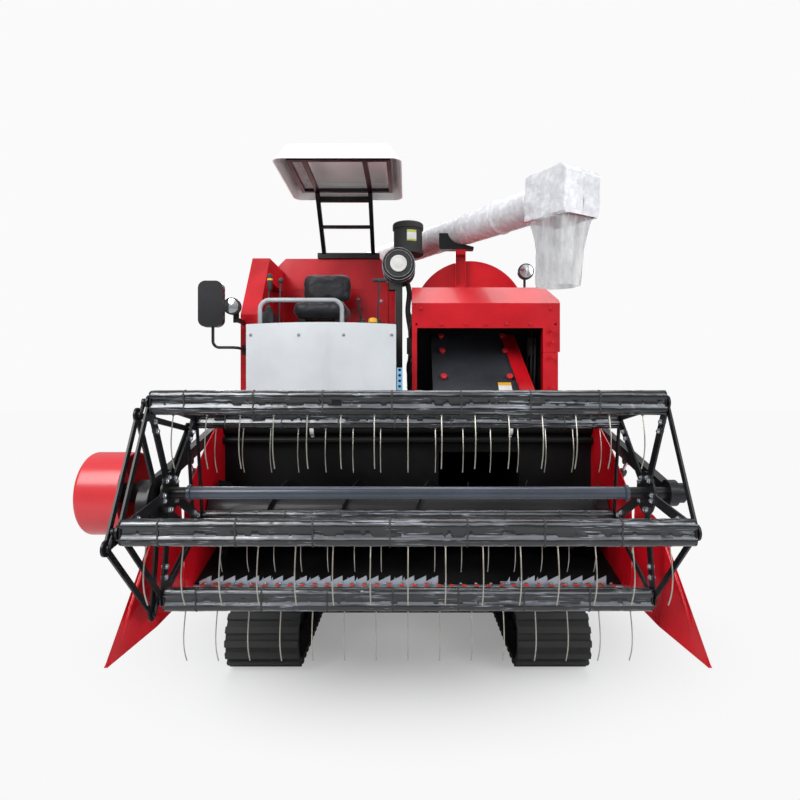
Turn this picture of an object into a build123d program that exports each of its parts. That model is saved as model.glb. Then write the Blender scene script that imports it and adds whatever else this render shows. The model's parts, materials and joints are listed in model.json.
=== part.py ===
from build123d import *
from math import acos, atan2, cos, degrees, hypot, pi, radians, sin, tan
import os

# Tracked rice combine harvester with an open operator's platform, seen as it parks: header raised,
# reel over the knife, unloading auger stowed on its rest. Millimetres.
# +X is the machine's left side, -Y is forward (the header), +Z is up, Z = 0 is the ground.
# The modelling datum is the mid-length of the machine; settle() at the end puts the finished
# model's bounding box centre on the origin.

# ---- Clearances ----
SEAT_GAP = 0.3            # between curved faces that rest on one another
RUNNING_CLEARANCE = 0.05  # radial, shaft in its bearing
PIVOT_CLEARANCE = 0.3     # radial, loose pin of a linkage
SWING_CLEARANCE = 15.0    # between the feeder and the recess that it swings in

# ---- Undercarriage ----
TRACK_CENTRE = 960.0
TRACK_WIDTH = 480.0
LUG_HEIGHT = 25.0
BELT_THICKNESS = 25.0
LUG_PITCH = 90.0
LUG_LAND = 40.0
IDLER = (-556.0, 215.0)        # y of the front idler's axis, outer radius over the lugs
REAR_WHEEL = (1000.0, 190.0)   # y of the rear lower wheel's axis, outer radius over the lugs
SPROCKET = (1350.0, 350.0, 220.0)  # y, z and outer radius over the lugs
SPROCKET_TEETH = 13
ROLLER_RADIUS = 75.0
ROLLER_START = -310.0
ROLLER_SPACING = 212.0
ROLLER_COUNT = 6
CARRIER_Y = 350.0
CARRIER_RADIUS = 50.0
WHEEL_HALF_WIDTH = 150.0
AXLE_RADIUS = 20.0
TRACK_BEAM_WIDTH = 110.0
TRACK_BEAM_Z = (205.0, 300.0)
HANGER_THICKNESS = 24.0
CROSS_TUBE = 80.0
CROSS_TUBE_Y = (-150.0, 700.0)
POST = 100.0
RAIL_X = 560.0
RAIL_Z = (640.0, 740.0)
DECK_Z = 820.0
REAR_Y = 2050.0
GEARBOX = (360.0, 320.0, 300.0)

# ---- Body widths ----
BODY_RIGHT = -1080.0
BODY_LEFT = 1010.0
SHEET = 8.0

# ---- Header lift: hinge of the feeder house in the thresher's front ----
LIFT_PIVOT = (400.0, 1550.0)
LIFT_TRAVEL = 25.5
LIFT_DROP = 25.5
TRUNNION_RADIUS = 40.0
TRUNNION_REACH = 20.0
FEEDER_X = (170.0, 690.0)
FEEDER_HALF = 200.0
FEEDER_MOUTH_Z = 1320.0
FEEDER_WALL = 8.0

# ---- Header ----
HEADER_HALF = 1120.0      # outer face of the side plates
SIDE_PLATE = 6.0
KNIFE = (-1530.0, 850.0)
GUARD_PITCH = 76.2
GUARD_COUNT = 29
GUARD_LENGTH = 62.0
SAW_PITCH = 49.0
AUGER = (-1230.0, 1165.0)
AUGER_DRUM = 150.0
AUGER_FLIGHT = 200.0
AUGER_SHAFT = 25.0
FLIGHT_PITCH = 400.0
TROUGH_GAP = 12.0
TROUGH_WALL = 6.0
TOP_TUBE_Z = 1650.0
TOP_TUBE_RADIUS = 45.0
CROSS_RAIL = (-1052.0, 1576.0, 20.0)
DIVIDER_TIP = (1190.0, -2250.0, 776.0)

# ---- Reel ----
REEL_AXLE = (-1970.0, 1417.0)
REEL_PITCH_RADIUS = 450.0
REEL_AXLE_RADIUS = 26.0
BAT_COUNT = 5
FRONT_BAT_ANGLE = -8.7
BAT_HALF_LENGTH = 1045.0
BAT_TUBE_RADIUS = 22.5
BAT_TUBE_OFFSET = 26.0
STUB_RADIUS = 12.0
CRANK_PIN_RADIUS = 8.0
ECCENTRIC_OFFSET = (-35.0, -50.0)
ECCENTRIC_HUB = 110.0
SPIDER_GAP = 4.0
SPIDER_THICKNESS = 8.0
CRANK_THICKNESS = 10.0
LINK_GAP = 6.0
TINE_PITCH = 136.6
TINE_COUNT = 15
TINE_LENGTH = 200.0
TINE_BOW = 24.0
TINE_RAKE = 15.0
TINE_SIZE = 5.0
REEL_PIVOT = (-1015.0, 1650.0)
REEL_PIVOT_PIN = 20.0
REEL_ARM_X = (1140.0, 1180.0)
REEL_RAISE = 22.0
REEL_COVER_RADIUS = 180.0
REEL_COVER_X = (1200.0, 1385.0)

# ---- Cylinders: base pin and rod-eye pin (y, z) with everything at rest ----
LIFT_CYLINDER_X = 430.0
LIFT_BASE = (320.0, 600.0)
LIFT_EYE = (-450.0, 1152.0)
LIFT_BARREL = (36.0, 500.0)
LIFT_ROD_RADIUS = 20.0
LIFT_PIN = 15.0
LIFT_EYE_SLACK = 5.0
REEL_BASE = (-1230.0, 1240.0)
REEL_EYE = (-1468.0, 1500.0)
REEL_BARREL = (17.0, 270.0)
REEL_ROD_RADIUS = 8.0
REEL_PIN = 9.0
REEL_EYE_SLACK = 2.5
EYE_WALL = 13.0

# ---- Thresher ----
THRESHER_X = (15.0, BODY_LEFT)
THRESHER_FRONT = -80.0
THRESHER_UPPER_FRONT = -200.0
THRESHER_STEP_Z = 1820.0
THRESHER_REAR = 2100.0
THRESHER_TOP = 2433.0
DRUM_CENTRE_X = 464.0
DRUM_RADIUS = 424.0
DRUM_REAR = 1700.0
HOOD_FRONT = -650.0
HOOD_X = (27.0, 1023.0)
HOOD_Z = (2301.0, 2469.0, 2602.0)
HOOD_SLOPE_Y = -500.0
COVER_X = (170.0, 760.0)
COVER_FOOT = (-700.0, 1820.0)
COVER_HEAD_Z = 2320.0
COLUMN_X = (909.0, 1023.0)
SIDE_BAY = (60.0, 1980.0, 1300.0, 2250.0)
SIDE_BAY_DEPTH = 80.0
DOOR_THICKNESS = 20.0
DOOR_GAP = 6.0

# ---- Operator's platform ----
PLATFORM_TOP = 1880.0
PLATFORM_PLATE = 20.0
PLATFORM_X = (-1005.0, -40.0)
PLATFORM_Y = (-942.0, -38.0)
ENGINE_BAY_FRONT = -690.0
PANEL_X = (-1005.0, -74.0)
PANEL_Z = (1500.0, 2303.0)
SIDE_PANEL_INNER = -960.0
SIDE_PANEL_FRONT = -810.0
SIDE_PANEL_BEND = 2370.0
SIDE_PANEL_TOP = (-525.0, 2800.0)
BACK_WALL_Y = (-50.0, -38.0)
BACK_WALL_TOP = 2910.0
SEAT_X = (-810.0, -385.0)
CANOPY_X = (-830.0, -40.0)
CANOPY_Y = (-1050.0, -300.0)
CANOPY_RIM_Z = 3280.0
CANOPY_CROWN_Z = 3395.0
CANOPY_WALL = 8.0
CANOPY_POST_X = (-650.0, -271.0)
RADIATOR_HINGE = (-1064.0, -112.0)

# ---- Grain tank and unloading auger ----
TANK_X = (BODY_RIGHT, -100.0)
TANK_Y = (-38.0, 1450.0)
TANK_Z = (1500.0, 2850.0)
HOPPER_Z = 1000.0
TANK_WALL = 10.0
HATCH = (-960.0, -500.0, 170.0, 780.0)
LID_HINGE = (-985.0, 2862.0)
SLEW_AXIS = (-620.0, 1600.0)
RISER_RADIUS = 110.0
RISER_TOP = 2960.0
TUBE_PIVOT_Z = 3180.0
TUBE_RADIUS = 100.0
TUBE_END = (817.5, -1010.0, 3021.0)
REST_POST_X = 389.0
REST_Y = -240.0

# ---- Derived values ----
BELT_DEPTH = LUG_HEIGHT + BELT_THICKNESS
TROUGH_INNER = AUGER_FLIGHT + TROUGH_GAP
TROUGH_OUTER = TROUGH_INNER + TROUGH_WALL
REAR_WALL_Y = AUGER[0] + TROUGH_OUTER
SPIDER_X = BAT_HALF_LENGTH + SPIDER_GAP
CRANK_X = SPIDER_X + SPIDER_THICKNESS + LINK_GAP
ECCENTRIC_X = CRANK_X + CRANK_THICKNESS + LINK_GAP + 2
CRANK_PIN_END = ECCENTRIC_X + SPIDER_THICKNESS + LINK_GAP
REEL_CYLINDER_X = (REEL_ARM_X[0] + REEL_ARM_X[1]) / 2


# ---- Shape helpers ----
def block(x0, x1, y0, y1, z0, z1):
    return Pos((x0 + x1) / 2, (y0 + y1) / 2, (z0 + z1) / 2) * Box(x1 - x0, y1 - y0, z1 - z0)


def rod_x(x0, x1, y, z, radius):
    return Pos((x0 + x1) / 2, y, z) * Rot(0, 90, 0) * Cylinder(radius, abs(x1 - x0))


def rod_y(y0, y1, x, z, radius):
    return Pos(x, (y0 + y1) / 2, z) * Rot(90, 0, 0) * Cylinder(radius, y1 - y0)


def rod_z(z0, z1, x, y, radius):
    return Pos(x, y, (z0 + z1) / 2) * Cylinder(radius, z1 - z0)


def along_x(sketch, x0, x1):
    """A sketch whose local axes are Y and Z, extruded from x0 to x1."""
    return extrude(Plane.YZ.offset(x0) * sketch, x1 - x0, dir=(1, 0, 0))


def polygon(points):
    return make_face(Polyline(*points, close=True))


def side_profile(points, x0, x1):
    return along_x(polygon(points), x0, x1)


def along_y(sketch, y0, y1):
    """A sketch whose local axes are X and Z, extruded from y0 to y1."""
    return extrude(Plane.XZ.offset(-y0) * sketch, y1 - y0, dir=(0, 1, 0))


def front_profile(points, y0, y1):
    """Points are (x, z)."""
    return along_y(polygon(points), y0, y1)


def disc(centre, radius):
    return Pos(*centre) * Circle(radius)


def bar(start, end, width, height, side=(1, 0, 0)):
    """A straight rectangular bar; width lies along the side direction."""
    a, b = Vector(*start), Vector(*end)
    run = b - a
    return Plane(origin=a, x_dir=side, z_dir=run) * Pos(0, 0, run.length / 2) * Box(width, height, run.length)


def tube(points, radius, bend):
    path = FilletPolyline(*points, radius=bend) if len(points) > 2 else Line(*points)
    return sweep(Plane(path @ 0, z_dir=path % 0) * Circle(radius), path=path)


def mirror_x(shape):
    return mirror(shape, about=Plane.YZ)


def turned(y, z, pivot, angle):
    """A point (y, z) turned about the pivot by an angle in degrees about +X."""
    c, s = cos(radians(angle)), sin(radians(angle))
    dy, dz = y - pivot[0], z - pivot[1]
    return pivot[0] + dy * c - dz * s, pivot[1] + dy * s + dz * c


# ---- Tracks ----
def track_circles():
    """Wheels that the belt wraps, anticlockwise seen from +X: y, z, outer radius."""
    idler = (IDLER[0], IDLER[1], IDLER[1])
    rear = (REAR_WHEEL[0], REAR_WHEEL[1], REAR_WHEEL[1])
    return [idler, rear, SPROCKET]


def tangent_normal(first, second):
    """Outward normal of the belt's straight run between two wheels."""
    dy, dz = second[0] - first[0], second[1] - first[1]
    run = hypot(dy, dz)
    along = (first[2] - second[2]) / run
    across = (1 - along * along) ** 0.5
    return ((dy * along + dz * across) / run, (dz * along - dy * across) / run)


def belt_runs():
    """The belt's outer line as a list of (kind, length, data)."""
    wheels = track_circles()
    count = len(wheels)
    normals = [tangent_normal(wheels[i], wheels[(i + 1) % count]) for i in range(count)]
    runs = []
    for i, wheel in enumerate(wheels):
        before, after = normals[i - 1], normals[i]
        start = atan2(before[1], before[0])
        sweep_angle = (atan2(after[1], after[0]) - start) % (2 * pi)
        runs.append(("arc", wheel[2] * sweep_angle, (wheel, start)))
        following = wheels[(i + 1) % count]
        a = (wheel[0] + wheel[2] * after[0], wheel[1] + wheel[2] * after[1])
        b = (following[0] + following[2] * after[0], following[1] + following[2] * after[1])
        runs.append(("line", hypot(b[0] - a[0], b[1] - a[1]), (a, b, after)))
    return runs


def belt_point(runs, distance, inset):
    total = sum(run[1] for run in runs)
    distance %= total
    for kind, length, data in runs:
        if distance <= length:
            if kind == "arc":
                wheel, start = data
                angle = start + distance / wheel[2]
                radius = wheel[2] - inset
                return wheel[0] + radius * cos(angle), wheel[1] + radius * sin(angle)
            a, b, normal = data
            share = distance / length
            return (a[0] + (b[0] - a[0]) * share - inset * normal[0],
                    a[1] + (b[1] - a[1]) * share - inset * normal[1])
        distance -= length
    raise ValueError("distance is past the belt's end")


def belt_inner():
    """The belt's inner face: hull of the wheels less the belt's depth."""
    wheels = track_circles()
    count = len(wheels)
    edges = []
    for i, wheel in enumerate(wheels):
        before = tangent_normal(wheels[i - 1], wheel)
        after = tangent_normal(wheel, wheels[(i + 1) % count])
        radius = wheel[2] - BELT_DEPTH
        start = degrees(atan2(before[1], before[0]))
        size = (degrees(atan2(after[1], after[0])) - start) % 360
        edges.append(CenterArc((wheel[0], wheel[1]), radius, start, size))
    joined = []
    for i, edge in enumerate(edges):
        joined.append(edge)
        joined.append(Line(edge @ 1, edges[(i + 1) % count] @ 0))
    return make_face(Curve() + joined)


def track():
    runs = belt_runs()
    total = sum(run[1] for run in runs)
    lugs = round(total / LUG_PITCH)
    pitch = total / lugs
    # The first lug stands at the middle of the ground run's start, so that lugs carry the part.
    points = []
    for i in range(lugs):
        middle = (i + 0.5) * pitch
        for offset, inset in ((-0.62, LUG_HEIGHT), (-0.5, 0), (0.5, 0), (0.62, LUG_HEIGHT)):
            points.append(belt_point(runs, middle + offset * LUG_LAND, inset))
    outline = polygon(points) - belt_inner()
    return along_x(outline, TRACK_CENTRE - TRACK_WIDTH / 2, TRACK_CENTRE + TRACK_WIDTH / 2)


def roller_ys():
    return [ROLLER_START + i * ROLLER_SPACING for i in range(ROLLER_COUNT)]


def wheel_pair(y, z, radius, inner=40.0):
    """Two discs on one axle, either side of the hanger plate."""
    axle = rod_x(TRACK_CENTRE - WHEEL_HALF_WIDTH, TRACK_CENTRE + WHEEL_HALF_WIDTH, y, z, AXLE_RADIUS)
    for side in (-1, 1):
        a = TRACK_CENTRE + side * inner
        b = TRACK_CENTRE + side * WHEEL_HALF_WIDTH
        axle += rod_x(min(a, b), max(a, b), y, z, radius)
    return axle


def top_run_z(y):
    """Height of the belt's inner face over a point, on the upper run."""
    normal = tangent_normal(SPROCKET, track_circles()[0])
    reach = SPROCKET[2] - BELT_DEPTH
    base = normal[0] * SPROCKET[0] + normal[1] * SPROCKET[1] + reach
    return (base - normal[0] * y) / normal[1]


def track_rollers():
    ground = BELT_DEPTH + ROLLER_RADIUS + SEAT_GAP
    pieces = [wheel_pair(y, ground, ROLLER_RADIUS) for y in roller_ys()]
    pieces.append(wheel_pair(CARRIER_Y, carrier_z(), CARRIER_RADIUS))
    pieces.append(wheel_pair(REAR_WHEEL[0], REAR_WHEEL[1], REAR_WHEEL[1] - BELT_DEPTH - SEAT_GAP))
    pieces.append(wheel_pair(IDLER[0], IDLER[1], IDLER[1] - BELT_DEPTH - SEAT_GAP))
    return pieces + [mirror_x(piece) for piece in pieces]


def carrier_z():
    return top_run_z(CARRIER_Y) - CARRIER_RADIUS - SEAT_GAP


def sprocket_outline():
    root = SPROCKET[2] - BELT_DEPTH - 34
    tip = SPROCKET[2] - BELT_DEPTH - SEAT_GAP
    points = []
    for i in range(SPROCKET_TEETH):
        middle = 360 / SPROCKET_TEETH * i
        for offset, radius in ((-10, root), (-5, tip), (5, tip), (10, root)):
            angle = radians(middle + offset)
            points.append((radius * cos(angle), radius * sin(angle)))
    return points


def drive_sprockets():
    """Toothed wheels on the gearbox's two axle ends."""
    hole = disc((0, 0), 34)
    plate = polygon(sprocket_outline()) - hole
    for i in range(5):
        angle = radians(72 * i)
        plate -= disc((85 * cos(angle), 85 * sin(angle)), 22)
    wheel = along_x(Pos(SPROCKET[0], SPROCKET[1]) * plate, TRACK_CENTRE - 20, TRACK_CENTRE + 20)
    hub = rod_x(TRACK_CENTRE - 90, TRACK_CENTRE + 60, SPROCKET[0], SPROCKET[1], 60)
    hub -= rod_x(TRACK_CENTRE - 91, TRACK_CENTRE + 20, SPROCKET[0], SPROCKET[1], 34)
    left = wheel + hub
    return [left, mirror_x(left)]


def track_frames():
    """Beam of each track with the hangers of its rollers, idler and rear wheel."""
    low, high = TRACK_BEAM_Z
    half = TRACK_BEAM_WIDTH / 2
    idler_reach = IDLER[1] - BELT_DEPTH + 20
    front = IDLER[0] + idler_reach
    rear = REAR_WHEEL[0] - (REAR_WHEEL[1] - BELT_DEPTH) - 20
    beam = block(TRACK_CENTRE - half, TRACK_CENTRE + half, front, rear, low, high)
    plate = HANGER_THICKNESS / 2
    left, right = TRACK_CENTRE - plate, TRACK_CENTRE + plate
    axle_z = BELT_DEPTH + ROLLER_RADIUS + SEAT_GAP
    hole = AXLE_RADIUS + SEAT_GAP
    for y in roller_ys():
        hanger = block(left, right, y - 45, y + 45, axle_z, low + 10) + rod_x(left, right, y, axle_z, 45)
        beam += hanger - rod_x(left - 1, right + 1, y, axle_z, hole)
    for y, z, edge in ((IDLER[0], IDLER[1], front + 5), (REAR_WHEEL[0], REAR_WHEEL[1], rear - 5)):
        arm = block(left, right, min(y, edge), max(y, edge), z - 50, z + 50) + rod_x(left, right, y, z, 50)
        arm &= block(left, right, y - 600, y + 600, z - 50, z + 50)
        beam += arm - rod_x(left - 1, right + 1, y, z, hole)
    carrier = block(left, right, CARRIER_Y - 35, CARRIER_Y + 35, high - 10, carrier_z())
    carrier += rod_x(left, right, CARRIER_Y, carrier_z(), 35)
    beam += carrier - rod_x(left - 1, right + 1, CARRIER_Y, carrier_z(), hole)
    return [beam, mirror_x(beam)]


def undercarriage():
    """Cross tubes between the track beams with the posts that carry the rails, and the lift cylinder's cross member."""
    half = TRACK_BEAM_WIDTH / 2
    tube_low = TRACK_BEAM_Z[0] + 5
    solids = []
    for y in CROSS_TUBE_Y:
        frame = block(-TRACK_CENTRE + half, TRACK_CENTRE - half, y - CROSS_TUBE / 2, y + CROSS_TUBE / 2,
                      tube_low, tube_low + CROSS_TUBE)
        for side in (-1, 1):
            x = side * RAIL_X
            frame += block(x - POST / 2, x + POST / 2, y - CROSS_TUBE / 2, y + CROSS_TUBE / 2, tube_low, RAIL_Z[0])
        solids.append(frame)
    # Hanging cross member that the header's lift cylinder pushes from.
    y = LIFT_BASE[0]
    seat_z = LIFT_BASE[1] - 60
    hanger = block(-RAIL_X - POST / 2, RAIL_X + POST / 2, y - 40, y + 40, seat_z - 80, seat_z)
    for side in (-1, 1):
        x = side * RAIL_X
        hanger += block(x - POST / 2, x + POST / 2, y - 40, y + 40, seat_z - 80, RAIL_Z[0])
    hanger += clevis(LIFT_CYLINDER_X, LIFT_BASE, seat_z, 40, LIFT_PIN)
    return [*solids, hanger]


def clevis(x, pin, foot_z, half_length, pin_radius):
    """Two ears and a fixed pin; the eye between them turns on the pin."""
    ears = None
    inner, outer = 32, 46
    for side in (-1, 1):
        x0, x1 = sorted((x + side * inner, x + side * outer))
        low, high = sorted((foot_z, pin[1]))
        ear = block(x0, x1, pin[0] - half_length, pin[0] + half_length, low, high)
        ear += rod_x(x0, x1, pin[0], pin[1], half_length)
        ears = ear if ears is None else ears + ear
    return ears + rod_x(x - outer, x + outer, pin[0], pin[1], pin_radius)


def chassis_frame():
    """Two rails between the tracks, and the deck of cross members that carries the bodies."""
    low, high = RAIL_Z
    front = ENGINE_BAY_FRONT
    frame = block(-RAIL_X - 50, -RAIL_X + 50, front, REAR_Y, low, high)
    frame += block(RAIL_X - 50, RAIL_X + 50, -250, REAR_Y, low, high)
    deck_low = high
    for y0, x0, x1 in ((front, BODY_RIGHT, 100), (-240, BODY_RIGHT, 100), (-240, RAIL_X - 50, BODY_LEFT),
                       (500, BODY_RIGHT, BODY_LEFT), (1250, BODY_RIGHT, BODY_LEFT), (REAR_Y - 80, BODY_RIGHT, BODY_LEFT)):
        frame += block(x0, x1, y0, y0 + 80, deck_low, DECK_Z)
    frame += block(BODY_RIGHT, BODY_RIGHT + 60, front, REAR_Y, deck_low, DECK_Z)
    frame += block(BODY_LEFT - 100, BODY_LEFT, front, REAR_Y, deck_low, DECK_Z)
    frame += block(20, 100, front, -240, deck_low, DECK_Z)
    return frame


def drive_gearbox():
    """Gearbox between the rails, with an axle tube out to each sprocket."""
    width, length, height = GEARBOX
    y, z = SPROCKET[0], SPROCKET[1]
    case = block(-width / 2, width / 2, y - length / 2, y + length / 2, z - height / 2, z + height / 2)
    case = chamfer(case.edges().filter_by(Axis.X), 40)
    reach = TRACK_CENTRE - 100
    case += rod_x(-reach, reach, y, z, 70)
    case += rod_x(-reach - 20, -reach, y, z, 95) + rod_x(reach, reach + 20, y, z, 95)
    case -= rod_x(-reach - 20, -reach - 8, y, z, 72) + rod_x(reach + 8, reach + 20, y, z, 72)
    case += rod_x(-TRACK_CENTRE - 20, TRACK_CENTRE + 20, y, z, 34 - SEAT_GAP)
    for side in (-1, 1):
        x = side * RAIL_X
        case += block(x - 40, x + 40, y - 60, y + 60, z, RAIL_Z[0])
    return case


# ---- Operator's platform ----
def platform():
    """Floor plate on a post frame round the engine bay."""
    x0, x1 = PLATFORM_X
    y0, y1 = PLATFORM_Y
    under = PLATFORM_TOP - PLATFORM_PLATE
    floor = block(x0, x1, y0, y1, under, PLATFORM_TOP)
    floor += block(x0, x1, ENGINE_BAY_FRONT, ENGINE_BAY_FRONT + 10, DECK_Z, under)
    for x in (x0, x1 - 50):
        for y in (ENGINE_BAY_FRONT, -160):
            floor += block(x, x + 50, y, y + 50, DECK_Z, under)
    for x in (x0 + 20, x1 - 60):
        floor += side_profile([(y0, under), (ENGINE_BAY_FRONT, under), (ENGINE_BAY_FRONT, under - 240),
                               (y0, under - 60)], x, x + 12)
    return floor


def front_panel():
    """Bright sheet apron across the platform's front, its upper edge slightly arched."""
    x0, x1 = PANEL_X
    z0, z1 = PANEL_Z
    rise = 14
    middle = (x0 + x1) / 2
    outline = make_face(Curve() + [
        Line((x0, z0), (x1, z0)), Line((x1, z0), (x1, z1 - rise)),
        ThreePointArc((x1, z1 - rise), (middle, z1), (x0, z1 - rise)),
        Line((x0, z1 - rise), (x0, z0))])
    y = PLATFORM_Y[0]
    sheet = along_y(outline, y - SHEET, y)
    for x in (x0, x1 - 6):
        sheet += block(x, x + 6, y, y + 30, PLATFORM_TOP, z1 - rise - 30)
    return sheet


def side_panel():
    """Red box panel along the operator's right, with a raked front above the bend."""
    outline = [(SIDE_PANEL_FRONT, PLATFORM_TOP), (SIDE_PANEL_FRONT, SIDE_PANEL_BEND), SIDE_PANEL_TOP,
               (BACK_WALL_Y[0], SIDE_PANEL_TOP[1]), (BACK_WALL_Y[0], PLATFORM_TOP)]
    panel = side_profile(outline, BODY_RIGHT, SIDE_PANEL_INNER)
    well = [(SIDE_PANEL_FRONT + 60, 2050), (SIDE_PANEL_FRONT + 60, 2330), (-560, 2640), (-130, 2640), (-130, 2050)]
    panel -= side_profile(well, SIDE_PANEL_INNER - 60, SIDE_PANEL_INNER)
    panel += block(BODY_RIGHT, PLATFORM_X[0], SIDE_PANEL_FRONT, BACK_WALL_Y[0] - 600, 1640, PLATFORM_TOP)
    return panel


def back_wall():
    y0, y1 = BACK_WALL_Y
    x0, x1 = -1060, -156
    z0, z1 = PLATFORM_TOP, BACK_WALL_TOP
    outline = [(x0, z0), (x1, z0), (x1, z1 - 60), (x1 - 60, z1), (x0 + 110, z1), (x0, z1 - 110)]
    wall = front_profile(outline, y0, y1)
    for z in (2350, 2500, 2650):
        wall -= Pos((x0 + x1) / 2, y0, z) * Box(560, 6, 40)
    return wall


def handrail():
    """Tube hoop over the apron, standing on the platform."""
    x0, x1, y, top = -944, -421, -850, 2456
    return tube([(x0, y, PLATFORM_TOP), (x0, y, top), (x1, y, top), (x1, y, PLATFORM_TOP)], 14, 60)


def seat_base():
    x0, x1 = SEAT_X
    box = block(x0 - 5, x1 + 20, -620, -70, PLATFORM_TOP, 2250)
    box = chamfer(box.edges().filter_by(Axis.X).group_by(Axis.Z)[-1], 40)
    for side_x in (x0 + 60, x1 - 110):
        box += block(side_x, side_x + 50, -600, -240, 2250, 2370 - SEAT_GAP)
    post = block(-620, -575, -212, -188, 2250, 2560)
    return box + post


def seat_cushions():
    """Plain solids of the seat's cushion and its round-topped back."""
    x0, x1 = SEAT_X
    cushion = block(x0, x1, -680, -270, 2370, 2490)
    cushion = fillet(cushion.edges().filter_by(Axis.Z), 50)
    low, high, width = 2510, 2770, 400
    middle = (x0 + x1) / 2
    outline = Pos(middle, (low + high) / 2) * RectangleRounded(width, high - low, 110)
    back = along_y(outline, -292, -212 - SEAT_GAP)
    return [cushion, back]


def control_consoles():
    """Boxes either side of the seat, with the levers' slots cut in their tops."""
    left = block(-360, -130, -800, -480, PLATFORM_TOP, 2320)
    left = chamfer(left.edges().filter_by(Axis.X).group_by(Axis.Z)[-1].group_by(Axis.Y)[0], 60)
    right = block(SIDE_PANEL_INNER, -880, -780, -600, PLATFORM_TOP, 2390)
    right += block(-880, -820, -780, -700, PLATFORM_TOP, 2260)
    for x, y, z in lever_feet():
        hole = rod_z(z - 20, z + 5, x, y, 10)
        if x < -600:
            right -= hole
        else:
            left -= hole
    return [left, right]


def lever_feet():
    return [(-920.0, -740.0, 2390.0), (-850.0, -740.0, 2260.0), (-312.0, -640.0, 2320.0), (-205.0, -660.0, 2320.0)]


def control_levers():
    """Rods with their knobs, standing in the consoles' slots."""
    levers = []
    tops = [(-905, -760, 2630, 15), (-835, -750, 2600, 17), (-330, -700, 2480, 13), (-190, -700, 2610, 14)]
    for (x, y, z), (tx, ty, tz, knob) in zip(lever_feet(), tops):
        foot = rod_z(z - 20, z + 2, x, y, 10 - RUNNING_CLEARANCE)
        rod = tube([(x, y, z), (tx, ty, tz)], 6, 0)
        levers.append(foot + rod + Pos(tx, ty, tz) * Sphere(knob))
    return levers


def canopy_frame():
    """Two leaning posts on a channel at the back wall's top, with cross bars and a roof ring."""
    y, z = (BACK_WALL_Y[0] + BACK_WALL_Y[1]) / 2, BACK_WALL_TOP
    top_y, top_z = -400, CANOPY_RIM_Z + 22
    frame = block(-700, -220, y - 30, y + 30, z, z + 40)
    for x in CANOPY_POST_X:
        frame += bar((x, y, z + 20), (x, top_y, top_z), 30, 30)
    for share, half in ((0.50, 12), (0.90, 20)):
        bar_y, bar_z = y + (top_y - y) * share, z + (top_z - z) * share
        frame += block(-650, -271, bar_y - 8, bar_y + 8, bar_z - half, bar_z + half)
    x0, x1, y0, y1 = -760, -110, -960, -390
    ring = block(x0, x1, y0, y1, top_z, top_z + 25) - block(x0 + 25, x1 - 25, y0 + 25, y1 - 25, top_z, top_z + 25)
    for x in CANOPY_POST_X:
        ring += block(x - 15, x + 15, y0, y1, top_z, top_z + 25)
    return frame + ring


def canopy_block(inset, low, high):
    x0, x1 = CANOPY_X
    y0, y1 = CANOPY_Y
    centre = Pos((x0 + x1) / 2, (y0 + y1) / 2)
    width, length = x1 - x0 - 2 * inset, y1 - y0 - 2 * inset
    rim = RectangleRounded(width, length, 60)
    crown = RectangleRounded(width - 110, length - 110, 80)
    lower = loft([centre * Pos(0, 0, low) * rim, centre * Pos(0, 0, high) * crown], ruled=True)
    return lower


def canopy():
    """Moulded roof, open below, resting on the roof ring."""
    shell = canopy_block(0, CANOPY_RIM_Z, CANOPY_CROWN_Z)
    shell = fillet(shell.edges().group_by(Axis.Z)[-1], 25)
    inner_top = CANOPY_RIM_Z + 47
    inner = canopy_block(CANOPY_WALL, CANOPY_RIM_Z - 1, CANOPY_CROWN_Z - 12)
    inner &= block(-1000, 200, -1200, 0, CANOPY_RIM_Z - 1, CANOPY_CROWN_Z - 12)
    shell -= inner
    x0, x1, y0, y1 = -740, -130, -940, -410
    for x in (x0, x1 - 20):
        shell += block(x, x + 20, y0, y1, inner_top, CANOPY_CROWN_Z - 10)
    return shell


def air_cleaner():
    """Canister facing forward, its elbow and the pre-cleaner bowl above."""
    x, z, r = -66, 2767, 110
    body = rod_y(-500, -200, x, z, r) + rod_y(-512, -500, x, z, 92) + rod_y(-520, -512, x, z, 58)
    for y in (-440, -260):
        body += rod_y(y, y + 16, x, z, r + 5)
    stem_x, stem_y = 0, -330
    body += rod_z(z, 2880, stem_x, stem_y, 45)
    body += rod_z(2870, 2895, stem_x, stem_y, 112) + rod_z(2895, 3050, stem_x, stem_y, 104)
    bowl = rod_z(3050, 3095, stem_x, stem_y, 112)
    body += fillet(bowl.edges().group_by(Axis.Z)[-1], 16)
    return body


def air_cleaner_bracket():
    """Saddle plate from the platform up to the canister."""
    x, z, r = -66, 2767, 115 + SEAT_GAP
    saddle = block(x - 70, PLATFORM_X[1], -432, -424 + 60, 2600, z) - rod_y(-500, -200, x, z, r)
    saddle -= block(x - 80, PLATFORM_X[1] + 10, -432, -360, z - 40, z + 1)
    leg = block(-90, PLATFORM_X[1], -432, -364, PLATFORM_TOP, 2600)
    return saddle + leg


def mirror_and_arm():
    arm = tube([(-1045, SIDE_PANEL_FRONT, 2140), (-1045, -1010, 2140), (-1190, -1010, 2140), (-1190, -1010, 2300)], 9, 40)
    foot = block(-1070, -1020, SIDE_PANEL_FRONT - 6, SIDE_PANEL_FRONT, 2110, 2170)
    head = Pos(-1190, -1030, 2400) * Rot(90, 0, 0) * extrude(RectangleRounded(150, 278, 45), 28, both=True)
    head = fillet(head.edges().group_by(Axis.Y)[-1], 12)
    return arm + foot + head


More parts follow.
